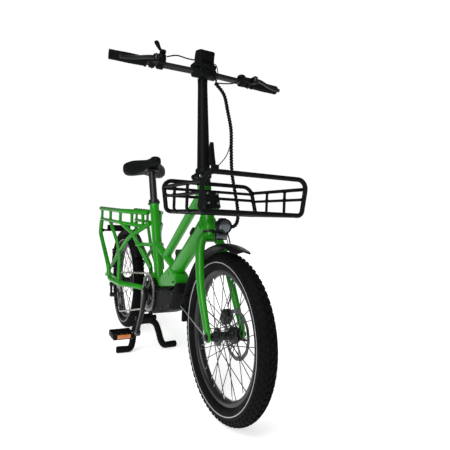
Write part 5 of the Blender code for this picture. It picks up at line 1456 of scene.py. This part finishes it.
@dataclass
class Cockpit(Assembly):
    """Handlebar, grips, brake levers, shifter, bell and the held cables."""

    body: str = "handlepost"

    def side(self, sign: int) -> None:
        """Everything on one end of the bar: sign is +1 on the left."""
        name = "left" if sign > 0 else "right"
        start, end = bar_point(sign * 0.215), bar_point(sign * GRIP_END)
        length = float(np.linalg.norm(end - start))
        at = np.linspace(0, length, 76)
        swell = 0.0008 * np.exp(-((at - 0.05) / 0.03) ** 2)
        ribs = 0.0156 + 0.0006 * (np.sin(at * 2 * np.pi / 0.0052) > -0.2) + swell
        outer = [(0.0148, 0.0), *[(float(r), float(h)) for r, h in zip(ribs[2:-3], at[2:-3])],
                 (0.0166, length - 0.004),
                 (0.016, length - 0.001), (0.013, length + 0.0002), (0.0, length + 0.0005)]
        self.add("grip_sleeve_" + name, GRIP_RUBBER, [lathe([(0.0, 0.0), *outer], start, end - start, 48)],
                 "grip_" + name)
        collar = [(0.0115, 0.0), (0.0172, 0.0), (0.0176, 0.0008), (0.0176, 0.0065), (0.0168, 0.0078),
                  (0.0115, 0.0078)]
        inner, outward = bar_point(sign * 0.15), bar_point(sign * 0.205) - bar_point(sign * 0.15)
        hose = np.array(bar_point(sign * 0.152)) + (0.026, 0,
                                                    0.002), np.array(bar_point(sign * 0.2)) + (0.034, 0, 0.0)
        clamp = [(0.0112, 0.03), (0.016, 0.03), (0.0168, 0.032), (0.0168, 0.046), (0.016, 0.048),
                 (0.0112, 0.048)]
        pod = [(0.0112, 0.0), (0.016, 0.0), (0.017, 0.0015), (0.017, 0.021), (0.016, 0.0225),
               (0.0112, 0.0225)]
        parts = [
            hoop(collar, start - (end - start) / length * 0.0085, end - start, 40),
            hoop(clamp, inner, outward, 36), hoop(pod, inner, outward, 36),
            tube(np.linspace(*hose, 14), taper(14, [0, 0.1, 0.7, 1], [0.0068, 0.009, 0.01, 0.0085]), 28),
            rounded_box(bar_point(sign * 0.19) + (0.022, 0, 0), (0.03, 0.02, 0.017), 0.005),
            *[rounded_box(bar_point(sign * 0.19) + (0.048, 0, z - 0.002), (0.026, 0.018, 0.0036), 0.0012)
              for z in (-0.0095, 0.0095)],
        ]
        foot = bar_point(-0.156) if sign < 0 else bar_point(0.16)
        if sign < 0:
            dome = [(0.0, 0.006), (0.015, 0.006), (0.0152, 0.024), (0.014, 0.031), (0.0118, 0.0345),
                    (0.0, 0.035)]
            parts.append(lathe(dome, foot + (0.001, 0, 0), (0.12, 0, 1), 36))
        else:
            dome = [(0.0, 0.006), (0.0125, 0.006), (0.013, 0.012), (0.0168, 0.0128), (0.0172, 0.015),
                    (0.0155, 0.0215),
                    (0.011, 0.0255), (0.0, 0.027)]
            parts.append(lathe(dome, foot, (0, 0, 1), 40))
            parts.append(rounded_box(foot + (-0.018, 0, 0.016), (0.014, 0.006, 0.005), 0.002))
        self.add("control_housing_" + name, NYLON, parts, "controls_" + name)
        self.add("control_screws_" + name, BLACK_ANODISED, [
            bolt(bar_point(sign * 0.19) + (0.056, 0, 0.0095), (0, 0, 1), 0.0036, 0.0026),
            bolt(inner + outward * 0.7 + (0.0, 0, -0.0165), (0, 0, -1), 0.0026),
        ])
        pivot = bar_point(sign * 0.19) + (0.056, 0, -0.002)
        steps = [(0.0, 0.0, 0.0), (0.001, 0.018, -0.002), (-0.003, 0.038, -0.005), (-0.009, 0.06, -0.009),
                 (-0.013, 0.08, -0.012), (-0.0145, 0.098, -0.014), (-0.013, 0.114, -0.015)]
        path = smooth_path([pivot + (x, sign * y, z) for x, y, z in steps], 40)
        width = taper(40, [0, 0.1, 0.4, 0.9, 1.0], [0.007, 0.0064, 0.0062, 0.0062, 0.0066])
        self.add("lever_blade_" + name, BLACK_ANODISED, [
            tube(path, width, section=superellipse(28, 3.0, 1.0, 0.58), dome=0.5),
            lathe([(0.0, -0.0076), (0.0078, -0.0076), (0.008, -0.007), (0.008, 0.007), (0.0078, 0.0076),
                   (0.0, 0.0076)], pivot, Z_AXIS, 28),
        ], "brake_lever_" + name, body="brake_" + name)

    def build(self) -> None:
        """Makes the bar, both sides, the thumb lever and the cables."""
        bar = np.array([bar_point(y) for y in np.linspace(-GRIP_END + 0.004, GRIP_END - 0.004, 61)])
        self.add("bar_tube", BLACK_ANODISED, [tube(bar, 0.011, 36)], "handlebar")
        for sign in (-1, 1):
            self.side(sign)
        pivot = joint_place("shift_lever")
        thumb = smooth_path([pivot, pivot + (-0.006, -0.01, 0.012), pivot + (-0.012, -0.02, 0.034)], 24)
        self.add("thumb_lever", NYLON, [
            lathe([(0.0, -0.003), (0.0105, -0.003), (0.011, -0.002), (0.011, 0.0045), (0.0095, 0.006),
                   (0.0, 0.0062)], pivot, Z_AXIS, 36),
            tube(thumb, taper(24, [0, 0.3, 0.9, 1], [0.0062, 0.0052, 0.0086, 0.0078]),
                 section=superellipse(24, 3.0, 1.0, 0.62), hint=Y_AXIS, dome=0.5)], "shift_lever",
                 body="shifter")
        bundle = [(0.972, 0.036, 1.105), (0.985, 0.066, 1.064), (0.995, 0.079, 1.003), (1.000, 0.092, 0.94),
                  (1.000, 0.096, 0.869), (1.000, 0.102, 0.791), (1.004, 0.116, 0.718), (1.01, 0.122, 0.679),
                  (1.022, 0.122, 0.632), (1.032, 0.106, 0.6), (1.03, 0.07, 0.59), (1.012, 0.052, 0.585),
                  (0.995, 0.038, 0.58)]
        shift = [(0.953, -0.141, 1.166), (0.95, -0.105, 1.179), (0.952, -0.067, 1.176),
                 (0.975, -0.038, 1.166),
                 (0.992, -0.004, 1.148), (0.992, 0.02, 1.132), (0.976, 0.037, 1.104)]
        display = [(0.974, 0.014, 1.168), (0.994, 0.026, 1.158), (0.994, 0.034, 1.13), (0.974, 0.038, 1.104)]
        hose = [(0.972, 0.147, 1.137), (0.98, 0.13, 1.128), (0.984, 0.1, 1.112), (0.982, 0.07, 1.106),
                (0.976, 0.042, 1.104)]
        path = smooth_path(bundle, 620)
        turns = full_turn(16)
        length = np.concatenate([[0], np.cumsum(np.linalg.norm(np.diff(path, axis=0), axis=1))])
        wave = np.cos(turns[None] - (length * 2 * np.pi / 0.01)[:, None])
        wrapped = 0.006 + 0.0009 * np.clip(wave * 2.4 + 0.6, -1, 1)
        tangents, normals = directions(path, False)
        binormals = np.cross(tangents, normals)
        rows = path[:, None] + wrapped[..., None] * (np.cos(turns)[None, :, None] * normals[:, None]
                                                     + np.sin(turns)[None, :, None] * binormals[:, None])
        split = int(np.argmax(path[:, 2] < 0.735))
        upper = Bend("steering", "handlepost", (1.0, 0.1, 0.75), (1.0, 0.1, 0.9))
        lower = Bend("frame", "steering", (1.0, 0.1, 0.6), (1.0, 0.1, 0.71))
        self.add("cable_wrap_upper", CABLE_JACKET, [grid(rows[:split + 1])], body=upper, crease=60)
        self.add("cable_wrap_lower", CABLE_JACKET, [grid(rows[split:])], "cable_bundle", body=lower,
                 crease=60)
        spare = [(0.999, 0.094, 0.93), (0.9985, 0.0925, 0.89), (0.996, 0.078, 0.845), (0.992, 0.052, 0.812),
                 (0.988, 0.028, 0.796)]
        self.add("shift_cable_housing", CABLE_JACKET, [
            tube(smooth_path(shift, 60), 0.0023, 16), tube(smooth_path(spare, 60), 0.0018, 12)],
            "shift_cable")
        self.add("left_brake_hose", CABLE_JACKET, [
            tube(smooth_path(hose, 50), 0.0023, 16), tube(smooth_path(display, 50), 0.0017, 12)], "left_hose")


@dataclass
class FrontRack(Assembly):
    """Tray rack of bent tube on the head tube."""

    half: float = 0.165
    front_x: float = 1.326
    rear_x: float = 1.072
    top_rear_x: float = 1.03
    floor_z: float = 0.638
    rail_z: float = 0.716
    mid_z: float = 0.686

    def hoop_x(self, z: float, front: bool) -> float:
        """X of a hoop at height z: both lean."""
        rise = (z - self.floor_z) / 0.1
        return self.front_x + 0.018 * rise if front else self.rear_x + (self.top_rear_x - self.rear_x) * rise

    def build(self) -> None:
        """Makes the floor, hoops, sides and the bracket."""
        half, z0 = self.half, self.floor_z
        self.add("tray_floor", BLACK_COAT, [
            *[rod((self.rear_x, y, z0), (self.front_x, y, z0), r)
              for y, r in ((-0.15, 0.0062), (-0.082, 0.005), (0.0, 0.005), (0.082, 0.005), (0.15, 0.0062))],
            *[weld_bead((x, y, z0), X_AXIS, 0.0054, 0.0014) for y in (-0.15, -0.082, 0.0, 0.082, 0.15)
              for x in (self.rear_x + 0.0072, self.front_x - 0.0072)],
        ], "basket_base")
        foot = z0 + 0.0004
        for front, name, top in ((True, "front", 0.742), (False, "rear", 0.738)):
            corners = [(self.hoop_x(foot, front), -half, foot), (self.hoop_x(top, front), -half, top),
                       (self.hoop_x(top, front), half, top), (self.hoop_x(foot, front), half, foot)]
            low_left, low_right = (0.55 * np.array(corners[k]) + 0.45 * np.array(corners[j]) for k,
                                   j in ((0, 1), (3, 2)))
            above = rounded([low_left, *corners[1:3], low_right], 0.032, 12)
            below = rounded([low_right, corners[3], corners[0], low_left], 0.014, 8)
            parts = [tube(np.vstack([above, below[1:-1]]), 0.007, 28, closed=True)]
            if not front:
                for z in (self.mid_z + 0.003, self.rail_z - 0.004):
                    x = self.hoop_x(z, False)
                    parts.append(rod((x, -half, z), (x, half, z), 0.005))
                    parts += [weld_bead((x, s * (half - 0.0068), z), Y_AXIS, 0.0052, 0.0014) for s in (-1, 1)]
            self.add(f"tray_{name}_hoop", BLACK_COAT, parts, f"basket_{name}_hoop")
        for sign, name in ((-1, "right"), (1, "left")):
            y, parts = sign * half, []
            for z, radius in ((self.rail_z, 0.0055), (self.mid_z, 0.0045)):
                ends = (self.hoop_x(z, False), y, z), (self.hoop_x(z, True), y, z)
                parts.append(rod(*ends, radius))
                parts += [weld_bead(np.array(e) + (d, 0, 0), X_AXIS, radius, 0.0014) for e,
                          d in zip(ends, (0.0072, -0.0072))]
            for x in (1.138, 1.238):
                parts.append(tube(rounded([(x, y, self.rail_z), (x, y, z0), (x, sign * 0.148, z0)], 0.012,
                                          8), 0.0045, 20))
                parts += [weld_bead((x, y, z), Z_AXIS, 0.0046, 0.0013)
                          for z in (self.mid_z + 0.005, self.rail_z - 0.0055)]
            self.add("tray_side_" + name, BLACK_COAT, parts, "basket_side_" + name)
        tilt = math.asin(STEER_AXIS[0]) - 0.08
        turn = turn_about(Y_AXIS, tilt)
        middle = np.array([1.044, 0.0, 0.681])
        self.add("tray_bracket", BLACK_COAT, [
            rounded_box(middle, (0.03, 0.058, 0.062), 0.004, turn),
            *[rounded_box(middle + turn @ np.array([0.0135, 0, z]), (0.008, 0.052, 0.015), 0.003, turn)
              for z in (-0.0175, 0.0175)],
        ], "basket_bracket")
        self.add("tray_bolts", ZINC_STEEL, [
            bolt(middle + turn @ np.array([0.0172, y, z]), turn @ X_AXIS, 0.0043, 0.004)
            for y in (-0.017, 0.017) for z in (-0.0175, 0.0175)])


@dataclass
class Seat(Assembly):
    """Seat post, clamp and the padded saddle."""

    body: str = "seat"
    top_z: float = 0.898
    stations: tuple[tuple[float, float, float, float], ...] = (
        (0.47, 0.023, 0.002, 0.035), (0.456, 0.03, 0.006, 0.046), (0.433, 0.0335, 0.006, 0.05),
        (0.4, 0.0355, 0.0005, 0.052), (0.366, 0.048, -0.0035, 0.058), (0.332, 0.076, -0.003, 0.07),
        (0.293, 0.104, -0.001, 0.086), (0.248, 0.117, 0.002, 0.093), (0.223, 0.111, 0.004, 0.086),
        (0.203, 0.093, 0.004, 0.066))

    def pad_grid(self, shrink: float, rows: int = 56, columns: int = 56) -> Array:
        """The pad as rows along x: y = half * cos(t), z = middle + depth * f(sin(t)), hollow underneath."""
        table = np.array(self.stations)[::-1]
        s = (1 - np.cos(np.linspace(0, np.pi, rows))) / 2
        x = table[0, 0] + s * (table[-1, 0] - table[0, 0])
        half, lift, depth = (np.interp(x, table[:, 0], table[:, k]) for k in (1, 2, 3))
        kernel = np.array([1, 2, 3, 2, 1]) / 9
        half = np.convolve(np.pad(half, 2, mode="edge"), kernel, "valid")
        ends = np.sqrt(np.clip(1 - (2 * s - 1) ** 8, 0.02, 1))
        half, depth = half * ends - shrink, depth * (0.55 + 0.45 * ends) - shrink
        t = full_turn(columns)
        c, n = np.cos(t), np.sin(t)
        y = np.sign(c) * np.abs(c) ** 0.8
        up = np.where(n >= 0, 0.42 * np.abs(n) ** 0.75,
                      -0.52 * np.abs(n) ** 0.55 * (1 - 0.55 * (1 - np.abs(c)) ** 1.2))
        groove = 0.0035 * np.exp(-(y / 0.2) ** 2) * (n > 0)
        z = self.top_z + lift[:, None] - shrink - depth[:,
                                                        None] * (0.42 - up[None]) - groove[None] * (half[:,
                                                            None] > 0.03)
        return np.stack([np.broadcast_to(x[:, None], z.shape), half[:, None] * y[None], z], -1)

    def pad(self) -> None:
        """Inflates the cover from a slightly small start, and then sews a seam round it."""
        shrink = 0.0035
        start = grid(self.pad_grid(shrink))
        piece = start.build("saddle_pad", SADDLE_VINYL, "seat", (), 180)
        inflate(piece, voxel=0.005, pressure=4.0, cap=0.0055)
        soft = piece.modifiers.new("round", "SUBSURF")
        soft.levels = soft.render_levels = 1
        piece.data.shade_smooth()
        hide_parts("saddle")
        surface = nearest_on(piece)
        ring = self.pad_grid(shrink, 90, 64)
        loop = np.concatenate([ring[3:-3, 61], ring[::-1, 35][3:-3]])
        line = resampled(surface(np.vstack([loop, loop[:1]])), 221)[:-1]
        self.add("saddle_lower_piping", SADDLE_VINYL, [tube(line, 0.0016, 10, closed=True)])
        for sign in (-1, 1):
            column = ring[8:-14, 16 + 7 * sign]
            line = resampled(surface(column + (0, 0, 0.01)), 120)
            stitches = [rod(a, b, 0.00062, sides=6) for a,
                        b in zip(line[::2] + (0, 0, 0.0003), line[1::2] + (0, 0, 0.0003))]
            self.add("saddle_stitches_" + ("left" if sign > 0 else "right"), GRIP_RUBBER, stitches)

    def build(self) -> None:
        """Makes the post, head, rails, base and pad, and the clamp and its lever."""
        head = SEAT_TOP + SEAT_AXIS * 0.15
        self.add("seat_post_tube", BLACK_ANODISED, [
            rod(SEAT_TOP - SEAT_AXIS * 0.104, head, 0.0168, sides=40),
            rounded_box(head + (-0.006, 0, 0.000), (0.038, 0.04, 0.013), 0.004),
            rounded_box(head + (-0.006, 0, 0.0135), (0.038, 0.064, 0.011), 0.004),
        ], "seatpost")
        self.add("seat_post_bolts", ZINC_STEEL, [bolt(head + (x, 0, -0.006), (0, 0, -1), 0.0036)
                                                 for x in (-0.021, 0.01)])
        rails = [(0.44, 0.01, 0.872), (0.425, 0.013, 0.866), (0.39, 0.026, 0.851), (0.3, 0.026, 0.851),
                 (0.25, 0.034, 0.866)]
        self.add("saddle_rails", BLACK_COAT, [tube(smooth_path(side_of(rails, s), 40), 0.0035, 16)
                                              for s in (-1, 1)])
        self.pad()
        base = self.pad_grid(0.01)
        base[..., 2] = np.minimum(base[..., 2] - 0.004, self.top_z - 0.018)
        self.add("saddle_base", NYLON, [grid(base)])
        collar = [(0.0171, -0.0135), (0.0212, -0.0135), (0.024, -0.0125), (0.0247, -0.011), (0.0247, 0.0065),
                  (0.024, 0.0085), (0.0171, 0.0085)]
        side = basis(SEAT_AXIS, X_AXIS)
        self.add("seat_collar", BLACK_ANODISED, [
            hoop(collar, SEAT_TOP, SEAT_AXIS, 48),
            *[rounded_box(SEAT_TOP + side @ np.array([-0.0275, y, -0.003]), (0.018, 0.008, 0.017), 0.003,
                          side) for y in (-0.006, 0.006)],
            rod((0.392, -0.016, 0.681), (0.392, 0.017, 0.681), 0.0042),
        ], "seat_clamp", body="frame")
        arm = smooth_path([(0.392, 0.0172, 0.6865), (0.382, 0.024, 0.6875), (0.374, 0.033, 0.689),
                           (0.366, 0.048, 0.693)], 24)
        self.add("quick_release_lever", BLACK_ANODISED, [
            lathe([(0.0, -0.0058), (0.0056, -0.0058), (0.0056, 0.0058), (0.0, 0.0058)],
                  (0.392, 0.0172, 0.6865), Z_AXIS, 24),
            tube(arm, taper(24, [0, 0.5, 1], [0.0044, 0.0046, 0.0054]), section=superellipse(20, 3, 1, 0.5),
                 dome=0.5),
        ], "seat_clamp_lever", body="seat_lever")


@dataclass
class Stand(Assembly):
    """Double-leg centre stand."""

    body: str = "stand"

    def build(self) -> None:
        """Makes the cross tube, the legs and the feet's rubber sleeves."""
        pivot = joint_place("kickstand_fold")
        route = [(0.42, 0.0, 0.129), (0.4205, 0.026, 0.1265), (0.424, 0.047, 0.112), (0.433, 0.06, 0.076),
                 (0.446, 0.069, 0.036), (0.455, 0.082, 0.0172), (0.455, 0.104, 0.0156),
                 (0.452, 0.136, 0.0156)]
        whole = side_of(route[:0:-1], -1) + side_of(route, 1)
        path = smooth_path([(x, y + pivot[1], z) for x, y, z in whole], 140)
        feet = []
        for end, before in ((path[0], path[1]), (path[-1], path[-2])):
            tail = (end - before) / np.linalg.norm(end - before)
            feet.append(rod(end - tail * 0.03, end + tail * 0.0005, 0.0152, sides=28, dome=0.4))
        spindle = [(0.0, -0.048), (0.0118, -0.048), (0.0126, -0.0465), (0.0126, 0.0465), (0.0118, 0.048),
                   (0.0, 0.048)]
        self.add("stand_legs", BLACK_COAT, [tube(path, 0.0148, 28), lathe(spindle, pivot, Y_AXIS, 36)],
                 "kickstand")
        self.add("stand_feet", GRIP_RUBBER, feet)
        self.add("stand_bolt", BLACK_ANODISED, [bolt(pivot + Y_AXIS * s * 0.0478, (0, s, 0), 0.0052, 0.003)
                                                for s in (-1, 1)])


def inflate(piece: bpy.types.Object, voxel: float, pressure: float, cap: float) -> None:
    """Blows up a closed mesh like a filled cover.

    Args:
        piece: The closed mesh, which ends up inflated.
        voxel: Size of the remesh.
        pressure: Pressure inside.
        cap: The furthest that a point may move.
    """
    scene = bpy.context.scene
    remesh = piece.modifiers.new("even", "REMESH")
    remesh.mode, remesh.voxel_size = "VOXEL", voxel
    apply_modifiers(piece)
    before = vertex_array(piece.data)
    cloth = piece.modifiers.new("cover", "CLOTH")
    cloth.settings.use_pressure = True
    cloth.settings.uniform_pressure_force = pressure
    cloth.settings.quality = 5
    cloth.settings.tension_stiffness = cloth.settings.compression_stiffness = 15
    cloth.settings.effector_weights.gravity = 0.0
    cloth.point_cache.frame_start, cloth.point_cache.frame_end = 1, 20
    for step in range(1, 21):
        scene.frame_set(step)
    apply_modifiers(piece)
    scene.frame_set(1)
    move = vertex_array(piece.data) - before
    length = np.linalg.norm(move, axis=1)[:, None]
    capped = before + move * np.minimum(1, cap / np.maximum(length, 1e-9))
    piece.data.vertices.foreach_set("co", capped.astype(np.float32).ravel())
    piece.data.update()


def vertex_array(mesh: bpy.types.Mesh) -> Array:
    """The mesh's points, one row each."""
    flat = np.empty(len(mesh.vertices) * 3, np.float32)
    mesh.vertices.foreach_get("co", flat)
    return flat.reshape(-1, 3).astype(float)


def apply_modifiers(piece: bpy.types.Object) -> None:
    """Replaces the piece's mesh by its evaluated one, keeping the material."""
    evaluated = piece.evaluated_get(bpy.context.evaluated_depsgraph_get())
    mesh = bpy.data.meshes.new_from_object(evaluated)
    piece.modifiers.clear()
    piece.data = mesh


def nearest_on(piece: bpy.types.Object) -> Callable[[Array], Array]:
    """A function that moves working-frame points onto the piece's surface."""
    tree = BVHTree.FromObject(piece, bpy.context.evaluated_depsgraph_get())

    def onto(points: Array) -> Array:
        """Nearest points on the surface."""
        found = [tree.find_nearest(Vector(p))[0] for p in points + (SHIFT_X, 0, 0)]
        return np.array(found) - (SHIFT_X, 0, 0)

    return onto


# ---- studio -------------------------------------------------------------------------------------
@dataclass
class Studio:
    """Pale floor, soft light and the camera."""

    camera_place: tuple[float, float, float] = (1.7165, -0.6, 0.616)
    azimuth: float = 62.265
    pitch: float = 0.628
    roll: float = 2.226
    lens: float = 32.84

    def camera(self) -> None:
        """Camera looking along the azimuth, slightly down and slightly rolled."""
        a, e, t = (math.radians(v) for v in (self.azimuth, self.pitch, self.roll))
        ahead = Vector((-math.sin(a) * math.cos(e), math.cos(a) * math.cos(e), -math.sin(e)))
        right = ahead.cross(Vector((0, 0, 1))).normalized()
        up = right.cross(ahead)
        turned_right = right * math.cos(t) + up * math.sin(t)
        turned_up = up * math.cos(t) - right * math.sin(t)
        data = bpy.data.cameras.new("view")
        data.lens, data.sensor_width = self.lens, 36.0
        piece = bpy.data.objects.new("view", data)
        turn = Matrix((turned_right, turned_up, -ahead)).transposed().to_4x4()
        piece.matrix_world = Matrix.Translation(self.camera_place) @ turn
        bpy.context.scene.collection.objects.link(piece)
        bpy.context.scene.camera = piece

    def light(self, name: str, place: Point, target: Point, size: float, power: float) -> None:
        """One soft box aimed at a point."""
        data = bpy.data.lights.new(name, "AREA")
        data.energy, data.size = power, size
        piece = bpy.data.objects.new(name, data)
        aim = Vector(target) - Vector(place)
        piece.matrix_world = Matrix.Translation(place) @ aim.to_track_quat("-Z", "Y").to_matrix().to_4x4()
        bpy.context.scene.collection.objects.link(piece)

    def floor(self) -> None:
        """White floor sheet, painted matte."""
        half = 14.0
        mesh = bpy.data.meshes.new("floor")
        mesh.from_pydata([(-half, -half, 0), (half, -half, 0), (half, half, 0), (-half, half, 0)], [],
                         [(0, 1, 2, 3)])
        piece = bpy.data.objects.new("floor", mesh)
        bpy.context.scene.collection.objects.link(piece)
        paint = FLOOR_PAINT.material()
        shader = next(node for node in paint.node_tree.nodes if node.type == "BSDF_PRINCIPLED")
        shader.inputs["Emission Color"].default_value = (1, 1, 1, 1)
        shader.inputs["Emission Strength"].default_value = 0.62
        mesh.materials.append(paint)

    def build(self) -> None:
        """Makes the camera, lights, world and floor."""
        self.camera()
        self.floor()
        sun = bpy.data.lights.new("sky_panel", "SUN")
        sun.energy, sun.angle = 1.45, math.radians(40)
        lamp = bpy.data.objects.new("sky_panel", sun)
        lamp.matrix_world = Vector((-0.35, 0.5, -1.0)).to_track_quat("-Z", "Y").to_matrix().to_4x4()
        bpy.context.scene.collection.objects.link(lamp)
        self.light("key_box", (2.6, -2.8, 2.6), (0.1, 0, 0.5), 1.8, 70)
        self.light("rim_box", (-2.4, 2.6, 2.2), (0, 0, 0.5), 1.6, 15)
        world = bpy.data.worlds.new("studio")
        bpy.context.scene.world = world
        world.use_nodes = True
        tree = world.node_tree
        seen = add_node(tree, "ShaderNodeLightPath").outputs["Is Camera Ray"]
        strength = add_node(tree, "ShaderNodeMapRange", {"To Min": 0.15, "To Max": 1.02}, {"Value": seen})
        tree.nodes["Background"].inputs["Color"].default_value = (1, 1, 1, 1)
        tree.links.new(strength.outputs["Result"], tree.nodes["Background"].inputs["Strength"])
        bpy.context.scene.view_settings.view_transform = "Standard"


def main() -> None:
    """Builds the sub-assemblies in order."""
    logging.basicConfig(level=logging.INFO, format="%(name)s %(message)s")
    Studio().build()
    assemblies = [FrameTubes(), RearRack(), Motor(), Drivetrain(),
                  Wheel("front_wheel"),
                  Wheel("rear_wheel", "rear", REAR_AXLE, 0.018, 0.066, 0.036, 0.048),
                  Mudguards("steering"), Mudguards("frame", "rear", REAR_AXLE, 33.0, 172.0),
                  ForkAndLamp(), Handlepost(), Cockpit(), FrontRack(), Seat(), Stand(),
                  Caliper("frame", "rear", np.array([0.054, 0.049, 0.324]), REAR_AXLE, 0.048)]
    for assembly in assemblies:
        assembly.build()
        LOG.info("built %s", type(assembly).__name__)


if __name__ == "__main__":
    main()
